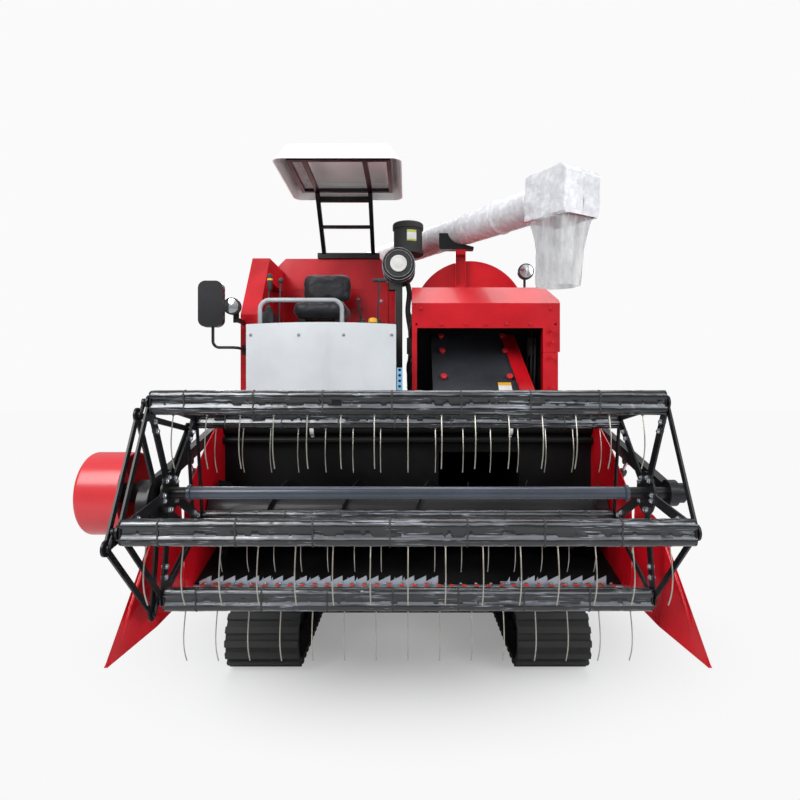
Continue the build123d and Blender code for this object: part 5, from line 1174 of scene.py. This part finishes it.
@dataclass
class Platform(SubAssembly):
    """Levers' boots and grips, lamps, mirror glass and screws of the operator's station."""

    def build(self) -> None:
        """Makes the group's pieces."""
        self.levers()
        self.lamps()
        self.mirror_glass()
        self.panel_details()

    def levers(self) -> None:
        """Boots round the levers' feet, and grips over their knobs."""
        low, high = self.machine.low("control_consoles"), self.machine.high("control_consoles")
        width = high.x - low.x
        boots, grips = Form(), Form()
        gold = Form()
        top = high.z - 0.015
        for share, y, base in ((0.052, 0.06, 2.39), (0.135, 0.06, 2.26), (0.783, 0.16, 2.32),
                               (0.912, 0.14, 2.32)):
            foot = Vector((low.x + width * share, low.y + y, base))
            boots.lathe(foot, Facing.UP.way,
                        [(0, 0.034), (0.008, 0.034), (0.012, 0.027), (0.02, 0.029), (0.026, 0.021),
                                              (0.034, 0.023), (0.04, 0.014), (0.05, 0.0075)], 20)
        left = Vector((low.x + width * 0.07, low.y + 0.04, top - 0.02))
        grips.lathe(left - Vector((0, 0, 0.075)), Facing.UP.way,
                    [(0, 0.009), (0.01, 0.0145), (0.05, 0.0165), (0.085, 0.018), (0.1, 0.012),
                     (0.104, 0.004)], 18)
        gold.lathe(left - Vector((0, 0, 0.012)), Facing.UP.way, [(0, 0.0185), (0.012, 0.0185)], 18)
        tee = Vector((low.x + width * 0.93, low.y + 0.10, top - 0.02))
        grips.tube([tee - Vector((0.045, 0, 0)), tee - Vector((0.04, 0, -0.002)),
                    tee + Vector((0.04, 0, 0.002)),
                    tee + Vector((0.045, 0, 0))], 0.0125, 14)
        cap = Vector((low.x + width * 0.88, low.y + 0.03, 2.32))
        gold.lathe(cap, Facing.UP.way, [(0, 0.03), (0.02, 0.03), (0.03, 0.024), (0.034, 0.008)], 20)
        place_piece(boots.done("lever_boots", BLACK_PLASTIC), "machine")
        place_piece(grips.done("lever_grips", BLACK_PLASTIC), "machine")
        place_piece(gold.done("lever_caps", YELLOW), "machine")

    def lamps(self) -> None:
        """Rim, reflector and glass of both round lamps."""
        low, high = self.machine.low("work_lamps"), self.machine.high("work_lamps")
        centres = ((Vector((low.x + 0.051, low.y, 2.395)), 0.051),
                   (Vector((high.x - 0.055, low.y + 0.58, 2.733)), 0.055))
        for i, (centre, radius) in enumerate(centres):
            rim = Form().lathe(centre, Facing.BACK.way, [(-0.003, radius * 0.86), (-0.006, radius * 0.93),
                                                         (-0.004, radius), (0.008, radius + 0.002),
                                                         (0.009, radius * 0.9)], 40)
            place_piece(rim.done(f"lamp_rim_{i + 1}", BLACK_PLASTIC), "machine")
            bowl = Form().lathe(centre, Facing.BACK.way, [(-0.0075, radius * 0.85), (-0.0005, radius * 0.5),
                                                         (-0.0003, radius * 0.1)], 40)
            place_piece(bowl.done(f"lamp_bowl_{i + 1}", REFLECTOR), "machine")
            glass = Form().lathe(centre, Facing.BACK.way, [(-0.014, 0.001), (-0.0125, radius * 0.45),
                                                          (-0.009, radius * 0.84), (-0.007, radius * 0.86)],
                                                          40)
            place_piece(glass.done(f"lamp_lens_{i + 1}", GLASS), "machine")

    def mirror_glass(self) -> None:
        """Glass on the operator's side of the mirror."""
        low, high = self.machine.low("mirror"), self.machine.high("mirror")
        centre = Vector((low.x + 0.075, low.y + 0.0565, high.z - 0.139))
        rows = []
        for lift in (0.0, 0.0015):
            row = []
            for k in range(48):
                angle = tau * k / 48
                x = (abs(cos(angle)) ** 0.45) * (1 if cos(angle) > 0 else -1) * 0.064
                z = (abs(sin(angle)) ** 0.45) * (1 if sin(angle) > 0 else -1) * 0.128
                row.append(centre + Vector((x, lift, z)))
            rows.append(row)
        place_piece(Form().rings(rows).done("mirror_glass", MIRROR), "machine")

    def panel_details(self) -> None:
        """Screws of the apron and the back wall, and the bar beside the air cleaner, with black discs of
        painted shade for its holes.
        """
        machine = self.machine
        low, high = machine.low("front_panel"), machine.high("front_panel")
        points = []
        for x in (0.03, 0.35, 0.65, 0.97):
            for z in (0.04, 0.9):
                spot = Vector((low.x + (high.x - low.x) * x, low.y, low.z + (high.z - low.z) * z))
                points.append((spot, Facing.FRONT.way))
        place_piece(self.scatter.spread("apron_screws", bolt_form(0.007), points, BRIGHT), "machine")
        wall_low, wall_high = machine.low("back_wall"), machine.high("back_wall")
        bolts = [(Vector((wall_low.x + (wall_high.x - wall_low.x) * x, wall_low.y, wall_low.z + z)),
                  Facing.FRONT.way)
                 for x in (0.06, 0.94) for z in (0.1, 0.4, 0.7)]
        place_piece(self.scatter.spread("wall_bolts", bolt_form(0.009), bolts, BRIGHT), "machine")
        strip = Form()
        x, y = high.x + 0.004, low.y + 0.012
        strip.slab(Vector((x, y - 0.004, 1.68)), Vector((x + 0.036, y, 2.02)), 0.001)
        place_piece(strip.done("hole_strip", SKY), "machine")
        # Painted shade: black discs on the solid bar stand for the dark view through its holes.
        holes = [(Vector((x + 0.018, y - 0.004, 1.7 + 0.034 * k)), Facing.FRONT.way) for k in range(10)]
        dot = Form().lathe(Vector((0, 0, -0.001)), Vector((0, 0, 1)), [(0, 0.009), (0.0012, 0.009)], 14)
        place_piece(self.scatter.spread("strip_holes", dot, holes, BLACK), "machine")


@dataclass
class Unloader(SubAssembly):
    """Film round the unloading tube, its head and its spout, and the pad on the tube's rest.

    Attributes:
        radius: outer radius of the tube.
        head: distance from the tube's end to the middle of the spout.
        fall: how far the stowed tube slopes down, in degrees.
        hood_top: height of the sheet that carries the rest.
    """

    radius: float = 0.1
    head: float = 0.1585
    fall: float = 3.05
    hood_top: float = 2.93

    def build(self) -> None:
        """Makes the group's pieces."""
        machine = self.machine
        pivot = machine.joints["unload_lift"]
        spout_low, spout_high = machine.low("unload_spout"), machine.high("unload_spout")
        mouth = (spout_low + spout_high) / 2
        axis = Vector((mouth.x - pivot.x, mouth.y - pivot.y, 0)).normalized()
        reach = hypot(mouth.x - pivot.x, mouth.y - pivot.y) - self.head
        drop = radians(self.fall)
        axis = Vector((axis.x * cos(drop), axis.y * cos(drop), -sin(drop)))
        side = axis.cross(Vector((0, 0, 1))).normalized()
        up = side.cross(axis)
        self.tube_film(pivot, axis, side, up, reach)
        self.head_film(pivot + axis * reach, axis, side, up)
        self.bag(pivot + axis * (reach + 0.165), axis, side, up)
        self.saddle(pivot, axis)

    def tube_film(self, pivot: Vector, axis: Vector, side: Vector, up: Vector, reach: float) -> None:
        """A creased film skin along the tube, lapped over itself on the underside."""
        rows = []
        stations, around, length = 320, 50, reach - 0.17
        rest = (self.machine.low("auger_rest").y + 0.025 - pivot.y) / axis.y
        for i in range(stations + 1):
            along = 0.15 + length * i / stations
            flange = 0.0085 * exp(-(((along - (reach - 0.392)) / 0.016) ** 4))
            flange -= 0.0032 * exp(-(((along - rest) / 0.045) ** 4))
            row = []
            for k in range(around):
                angle = radians(-96) + radians(372) * k / (around - 1)
                wind = noise.noise(Vector((along * 7 + angle * 0.5, cos(angle) * 1.2, sin(angle) * 1.2)))
                crease = noise.noise(Vector((along * 30 + angle * 2.4, cos(angle) * 3, sin(angle) * 3)))
                loose = 0.0 if abs(along - rest) < 0.05 else 1.0
                size = self.radius + 0.0045 + flange + (wind * 0.0028 + crease * 0.0018
                                                        + 0.002 * k / around) * loose
                row.append(pivot + axis * along + (side * cos(angle) + up * sin(angle)) * size)
            rows.append(row)
        made = Form().rings(rows, capped=False, seam=True).done("tube_film", PALE_FILM)
        place_piece(made, "unload_tube")

    def head_film(self, base: Vector, axis: Vector, side: Vector, up: Vector) -> None:
        """Film drawn over the spout's head, open below.

        Args:
            base: centre of the tube's end.
            axis: the tube's direction.
            side: level direction across it.
            up: the third direction.
        """
        rows = []
        around = 60
        stations = [(-0.05, 0.0, 1.0), (-0.02, 0.02, 1.0), (-0.006, 0.75, 1.0)]
        stations += [(0.33 * i / 22, 1.0, 1.0) for i in range(23)]
        stations += [(0.337, 1.0, 0.96), (0.339, 1.0, 0.7), (0.341, 1.0, 0.35), (0.342, 1.0, 0.002)]
        for x, square, scale in stations:
            row: list[Vector] = []
            bend = min(max(x - 0.279, 0.0), 0.054)
            top = (0.055 ** 2 - bend ** 2) ** 0.5 - 0.055
            for k in range(around):
                share = k / (around - 1)
                angle = radians(232) - radians(284) * share
                a, b = cos(angle), sin(angle)
                box = 1 / max(abs(a), abs(b))
                pillow = 0.014 * square * cos(pi * min(x / 0.34, 1)
                                              - pi / 2) * max(0.0, 1 - abs(b)) if x > 0 else 0.0
                wide = 0.1075 * (1 - square) + 0.1345 * box * square + pillow
                point = Vector((a * wide, b * wide * (1.0 if b > 0 else 1.08)))
                point.y = max(min(point.y, 0.126 + top), -0.146) if square > 0.5 else point.y
                point.x *= scale
                fold = noise.noise(Vector((x * 9 + b, a * 1.6, b * 1.6))) * 0.009
                fold += noise.noise(Vector((x * 30 + a * 2, a * 5, b * 5))) * 0.003
                grow = 1 + max(fold, -0.002) / 0.13
                row.append(base + axis * (x + fold * (0.5 if scale < 1 else 0)) + side * point.x * grow
                           + up * point.y * grow)
            rows.append(row)
        made = Form().rings(rows, capped=False, seam=True).done("head_film", PALE_FILM)
        place_piece(made, "unload_tube")

    def saddle(self, pivot: Vector, axis: Vector) -> None:
        """Black pad on the rest's saddle, which fills the gap up to the stowed tube."""
        low, high = self.machine.low("auger_rest"), self.machine.high("auger_rest")
        floor = self.hood_top
        rows = []
        for step in range(7):
            y = low.y - 0.002 + (high.y - low.y + 0.004) * step / 6
            centre = pivot + axis * ((y - pivot.y) / axis.y)
            outline = [(low.x - 0.002, floor - 0.003), (low.x - 0.002, centre.z - 0.019),
                       (centre.x - 0.121, centre.z - 0.019)]
            for k in range(14):
                angle = radians(192 + 82 * k / 13)
                outline.append((centre.x + 0.1035 * cos(angle) / abs(axis.y),
                                max(centre.z + 0.1035 * sin(angle), floor + 0.018)))
            outline += [(high.x + 0.002, floor + 0.016), (high.x + 0.002, floor - 0.003)]
            rows.append([Vector((a, y, b)) for a, b in outline])
        place_piece(Form().rings(rows).done("rest_saddle", BLACK, smooth=False), "machine")

    def bag(self, centre: Vector, axis: Vector, side: Vector, up: Vector) -> None:
        """A thin open sock that hangs from the spout's rim."""
        rows = []
        rim = -0.1403
        levels, around = 44, 72
        for i in range(levels + 1):
            share = i / levels
            row = []
            for k in range(around):
                angle = tau * (k + 0.5) / around
                power = 0.35 + 0.5 * min(1, share * 2.2)
                a = (abs(cos(angle)) ** power) * (1 if cos(angle) > 0 else -1) * (0.157 - 0.03 * share)
                b = (abs(sin(angle)) ** power) * (1 if sin(angle) > 0 else -1) * (0.127 - 0.028 * share)
                fold = noise.noise(Vector((cos(angle) * 2.6, sin(angle) * 2.6,
                                           share * 1.6))) * 0.02 * min(1, share * 3)
                fold += noise.noise(Vector((cos(angle) * 7, sin(angle) * 7,
                                            share * 3))) * 0.006 * min(1, share * 3)
                grow = 1 + fold / 0.15
                row.append(centre + axis * a * grow + side * b * grow
                           + up * (rim + 0.05 * (share < 0.02) - 0.385 * share))
            rows.append(row)
        made = Form().rings(rows, capped=False).done("spout_bag", BAG_FILM)
        place_piece(made, "unload_tube")
        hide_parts("spout_film")


@dataclass
class Intake(SubAssembly):
    """Air cleaner's trims, hoses of the bay beside it, and near-black sheets of painted shade and belts
    behind the hood.
    """

    def build(self) -> None:
        """Makes the group's pieces."""
        self.cleaner()
        self.bay()
        self.hood_shade_sheets()

    def cleaner(self) -> None:
        """Face, clamps and blank labels of the air cleaner."""
        low = self.machine.low("air_cleaner")
        face = Vector((low.x + 0.115, low.y, 2.767))
        disc = Form().lathe(face, Facing.FRONT.way,
                            [(-0.002, 0.0585), (0.003, 0.0575), (0.0045, 0.052), (0.002, 0.046),
                                                     (0.002, 0.03), (0.004, 0.024), (0.004, 0.002)], 48)
        place_piece(disc.done("cleaner_disc", WHITE_PLATE), "machine")
        rings = Form()
        for back, size in ((0.006, 0.0925), (0.0135, 0.111), (0.08, 0.1155), (0.26, 0.1155)):
            rings.rings([[face
                          + Vector((radius * cos(tau * k / 56), back + step, radius * sin(tau * k / 56)))
                          for k in range(56)]
                         for step, radius in ((-0.004, size), (-0.004, size + 0.003), (0.004, size + 0.003),
                                              (0.004, size))],
                        capped=False, looped=True)
        place_piece(rings.done("cleaner_clamps", BRIGHT), "machine")
        drum = Vector((low.x + 0.181, low.y + 0.19, 0))
        for name, start, end, finish in (("cleaner_label_head", 3.012, 3.028, LABEL_GREEN),
                                         ("cleaner_label", 2.962, 3.011, WHITE_PLATE),
                                         ("cleaner_label_foot", 2.95, 2.9615, LABEL_GREEN)):
            rows = []
            for radius in (0.1035, 0.1052):
                edge = [(radians(-94 + 3.5 * k), start) for k in range(12)]
                edge += [(angle, end) for angle, _ in reversed(edge)]
                rows.append([drum + Vector((radius * cos(angle), radius * sin(angle), z)) for angle,
                             z in edge])
            place_piece(Form().rings(rows).done(name, finish), "machine")

    def bay(self) -> None:
        """Hoses, pipes and fittings in the gap beside the operator's platform."""
        low = self.machine.low("air_cleaner")
        x, y = low.x + 0.16, low.y + 0.16
        hoses = Form()
        for path, radius in (
                ([(0, 0.08, 2.72), (0.03, 0.03, 2.6), (0.02, 0, 2.45), (0.045, 0.02, 2.25),
                  (0.03, 0.02, 2.0), (0.04, 0.03, 1.8)], 0.019),
                ([(0.05, 0.05, 2.6), (0.06, 0, 2.42), (0.03, -0.02, 2.3), (0.055, 0, 2.1),
                  (0.02, 0.01, 1.9)], 0.009),
                ([(0.015, 0.03, 2.5), (0.055, -0.02, 2.36), (0.06, -0.01, 2.2), (0.015, -0.01, 2.05),
                  (0.05, 0, 1.85)], 0.007),
                ([(0.07, 0.06, 2.5), (0.075, 0.02, 2.3), (0.07, 0.02, 2.1), (0.075, 0.03, 1.85)], 0.011)):
            hoses.tube(Header.curve([Vector((x + a, y + b, c)) for a, b, c in path], 8), radius, 12)
        place_piece(hoses.done("bay_hoses", RUBBER), "machine")
        fittings = Form()
        for a, b, c in ((0.045, 0.02, 2.25), (0.055, 0, 2.1), (0.06, 0, 2.42), (0.04, 0.03, 1.86),
                        (0.07, 0.02, 2.32)):
            fittings.lathe(Vector((x + a, y + b, c)), Facing.UP.way,
                           [(-0.012, 0.012), (-0.012, 0.021), (0.0, 0.023), (0.012, 0.021), (0.012, 0.012)],
                           18)
        fittings.slab(Vector((x + 0.012, y + 0.045, 2.15)), Vector((x + 0.07, y + 0.075, 2.27)), 0.004)
        place_piece(fittings.done("bay_fittings", CAST), "machine")

    def hood_shade_sheets(self) -> None:
        """Painted shade as near-black sheets inside the hood, and the belt drive beside the cover."""
        hood_low, hood_high = self.machine.low("front_hood"), self.machine.high("front_hood")
        back = self.machine.low("drum_cover").y
        # Painted shade: thin near-black sheets laid just inside the hood's faces.
        form = Form()
        form.slab(Vector((hood_low.x + 0.006, back - 0.005, 1.83)),
                  Vector((hood_high.x - 0.095, back - 0.001, 2.455)), 0.001)
        form.slab(Vector((hood_low.x + 0.005, hood_low.y + 0.02, 2.306)),
                  Vector((hood_low.x + 0.009, back - 0.005, 2.455)), 0.001)
        form.slab(Vector((hood_low.x + 0.034, hood_low.y + 0.055, 1.5)),
                  Vector((hood_low.x + 0.038, back - 0.005, 2.3)), 0.001)
        form.slab(Vector((hood_high.x - 0.093, hood_low.y + 0.02, 1.5)),
                  Vector((hood_high.x - 0.089, back - 0.005, 2.455)), 0.001)
        form.slab(Vector((hood_low.x + 0.006, hood_low.y + 0.02, 2.46)),
                  Vector((hood_high.x - 0.09, back - 0.005, 2.463)), 0.001)
        place_piece(form.done("hood_lining", BLACK_WITH_PAINTED_SHADE, smooth=False), "machine")
        x = hood_high.x - 0.135
        wheels, belts = Form(), Form()
        for y, z, radius in ((back - 0.14, 2.2, 0.07), (back - 0.12, 1.93, 0.05)):
            for shift in (0.0, 0.024):
                wheels.lathe(Vector((x + shift - 0.011, y, z)), Facing.LEFT.way,
                             [(0, radius), (0.006, radius - 0.012), (0.012, radius - 0.012),
                              (0.018, radius)], 40)
        for shift in (0.0, 0.024):
            path = [Vector((x + shift - 0.002, back - 0.21, 2.2)),
                    Vector((x + shift - 0.002, back - 0.17, 1.93)),
                    Vector((x + shift - 0.002, back - 0.12, 1.88)),
                    Vector((x + shift - 0.002, back - 0.07, 1.93)),
                    Vector((x + shift - 0.002, back - 0.07, 2.2)),
                    Vector((x + shift - 0.002, back - 0.14, 2.27)),
                    Vector((x + shift - 0.002, back - 0.21, 2.2))]
            belts.tube(Header.curve(path, 8), 0.008, 8)
        place_piece(wheels.done("intake_pulleys", CAST), "machine")
        place_piece(belts.done("intake_belts", RUBBER), "machine")


@dataclass
class Tracks(SubAssembly):
    """Hub caps of the rollers and wheels in the tracks."""

    def build(self) -> None:
        """Makes the group's pieces."""
        machine = self.machine
        rollers_low = machine.low("track_rollers")
        rollers_high = machine.high("track_rollers")
        centre = (rollers_low.x + rollers_high.x) / 2
        reach = rollers_high.x - centre
        caps = []
        for side in (-1, 1):
            way = Vector((side, 0, 0))
            for y in [-0.31 + 0.212 * k + 0.0149 for k in range(6)]:
                caps.append((Vector((centre + side * reach, y, 0.125)), way))
            caps.append((Vector((centre + side * reach, 1.0149, 0.19)), way))
            caps.append((Vector((centre + side * reach, -0.5411, 0.215)), way))
        cap = Form().lathe(Vector((0, 0, -0.001)), Vector((0, 0, 1)),
                           [(0, 0.034), (0.006, 0.034), (0.012, 0.026), (0.013, 0.008)], 20)
        place_piece(self.scatter.spread("roller_caps", cap, caps, CAST), "machine")


# ---- Stage ----
@dataclass
class Studio:
    """Floor, backdrop, lamps and the camera.

    Attributes:
        machine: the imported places.
        gap: distance from the reel's axle forward to the camera.
        rise: height of the camera over the reel's axle.
    """

    machine: Machine
    gap: float = 2.53
    rise: float = 0.433

    def floor(self) -> None:
        """A pale floor that reads as a white sweep to the camera."""
        data = bpy.data.meshes.new("floor")
        far = 60.0
        data.from_pydata([(-far, -far, 0), (far, -far, 0), (far, far, 0), (-far, far, 0)], [], [(0, 1, 2, 3)])
        plane = bpy.data.objects.new("floor", data)
        bpy.context.scene.collection.objects.link(plane)
        graph = Graph("floor_paint")
        graph.feed(Base_Color=(*srgb(214, 215, 216), 1.0), Roughness=0.8)
        near = graph.node("ShaderNodeVectorMath", {"operation": "MULTIPLY"},
                          {0: graph.place, 1: (0.7, 1.0, 1.0)}, "Vector")
        away = graph.node("ShaderNodeVectorMath", {"operation": "DISTANCE"},
                          {0: near, 1: (0.06, 0.25, 0.0)}, "Value")
        seen = graph.node("ShaderNodeLightPath", {}, {}, "Is Camera Ray")
        white = graph.node("ShaderNodeEmission", {}, {"Color": (*srgb(249, 249, 249), 1.0), "Strength": 1.0})
        blend = graph.node("ShaderNodeMixShader", {}, {0: (away.step(0.6, 2.0) * 0.72 + 0.28) * seen})
        mixer = blend.socket.node
        graph.tree.links.new(graph.surface.outputs[0], mixer.inputs[1])
        graph.tree.links.new(white.socket, mixer.inputs[2])
        graph.tree.links.new(blend.socket, graph.output.inputs["Surface"])
        data.materials.append(graph.material)

    def world(self) -> None:
        """Even light from all round, white where it is seen directly."""
        world = bpy.data.worlds.new("studio")
        bpy.context.scene.world = world
        world.use_nodes = True
        tree = world.node_tree
        tree.nodes.clear()
        out = tree.nodes.new("ShaderNodeOutputWorld")
        light = tree.nodes.new("ShaderNodeBackground")
        light.inputs["Color"].default_value = (0.93, 0.96, 1.0, 1.0)
        sky = tree.nodes.new("ShaderNodeTexCoord")
        parts = tree.nodes.new("ShaderNodeSeparateXYZ")
        high = tree.nodes.new("ShaderNodeMapRange")
        for name, value in (("From Min", -0.1), ("From Max", 0.75), ("To Min", 0.2), ("To Max", 0.62)):
            high.inputs[name].default_value = value
        tree.links.new(sky.outputs["Generated"], parts.inputs[0])
        tree.links.new(parts.outputs["Z"], high.inputs["Value"])
        tree.links.new(high.outputs[0], light.inputs["Strength"])
        seen = tree.nodes.new("ShaderNodeBackground")
        seen.inputs["Color"].default_value = (*srgb(250, 250, 250), 1.0)
        seen.inputs["Strength"].default_value = 1.0
        path = tree.nodes.new("ShaderNodeLightPath")
        mix = tree.nodes.new("ShaderNodeMixShader")
        tree.links.new(path.outputs["Is Camera Ray"], mix.inputs[0])
        tree.links.new(light.outputs[0], mix.inputs[1])
        tree.links.new(seen.outputs[0], mix.inputs[2])
        tree.links.new(mix.outputs[0], out.inputs["Surface"])

    def lamp(self, name: str, place: Vector, aim: Vector, size: float, power: float) -> None:
        """One soft square lamp."""
        data = bpy.data.lights.new(name, "AREA")
        data.size = size
        data.energy = power
        made = bpy.data.objects.new(name, data)
        bpy.context.scene.collection.objects.link(made)
        made.location = place
        made.rotation_euler = (aim - place).to_track_quat("-Z", "Y").to_euler()

    def camera(self) -> None:
        """The camera in front of the header, level."""
        axle = self.machine.joints["reel_spin"]
        centre = self.machine.joints["header_auger_spin"].x
        data = bpy.data.cameras.new("camera")
        data.sensor_width = 36
        data.lens = 25.74
        data.shift_x = -0.01
        data.shift_y = -0.00625
        made = bpy.data.objects.new("camera", data)
        bpy.context.scene.collection.objects.link(made)
        made.location = (centre, axle.y - self.gap, axle.z + self.rise)
        made.rotation_euler = (radians(90), 0, 0)
        bpy.context.scene.camera = made

    def build(self) -> None:
        """Sets the whole stage."""
        self.floor()
        self.world()
        aim = Vector((0, -0.6, 1.5))
        self.lamp("key", Vector((-3.6, -6.2, 6.4)), aim, 4.0, 430)
        self.lamp("fill", Vector((5.2, -5.0, 4.0)), aim, 4.0, 200)
        self.lamp("top", Vector((0.5, 0.8, 7.5)), Vector((0, 0, 1)), 5.0, 210)
        self.lamp("back", Vector((-2.0, 7.0, 5.0)), aim, 4.0, 260)
        self.camera()
        bpy.context.scene.view_settings.view_transform = "Standard"


def main() -> None:
    """Dresses the machine, group by group."""
    logging.basicConfig(level=logging.INFO, format="%(message)s")
    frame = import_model()
    machine = Machine(frame)
    machine.dress_nodes()
    scatter = Scatter()
    for group in (ReelBats, ReelEnds, Header, Body, Seat, Platform, Unloader, Intake, Tracks):
        LOG.info("building %s", group.__name__)
        group(machine, scatter).build()
    Studio(machine).build()


if __name__ == "__main__":
    main()
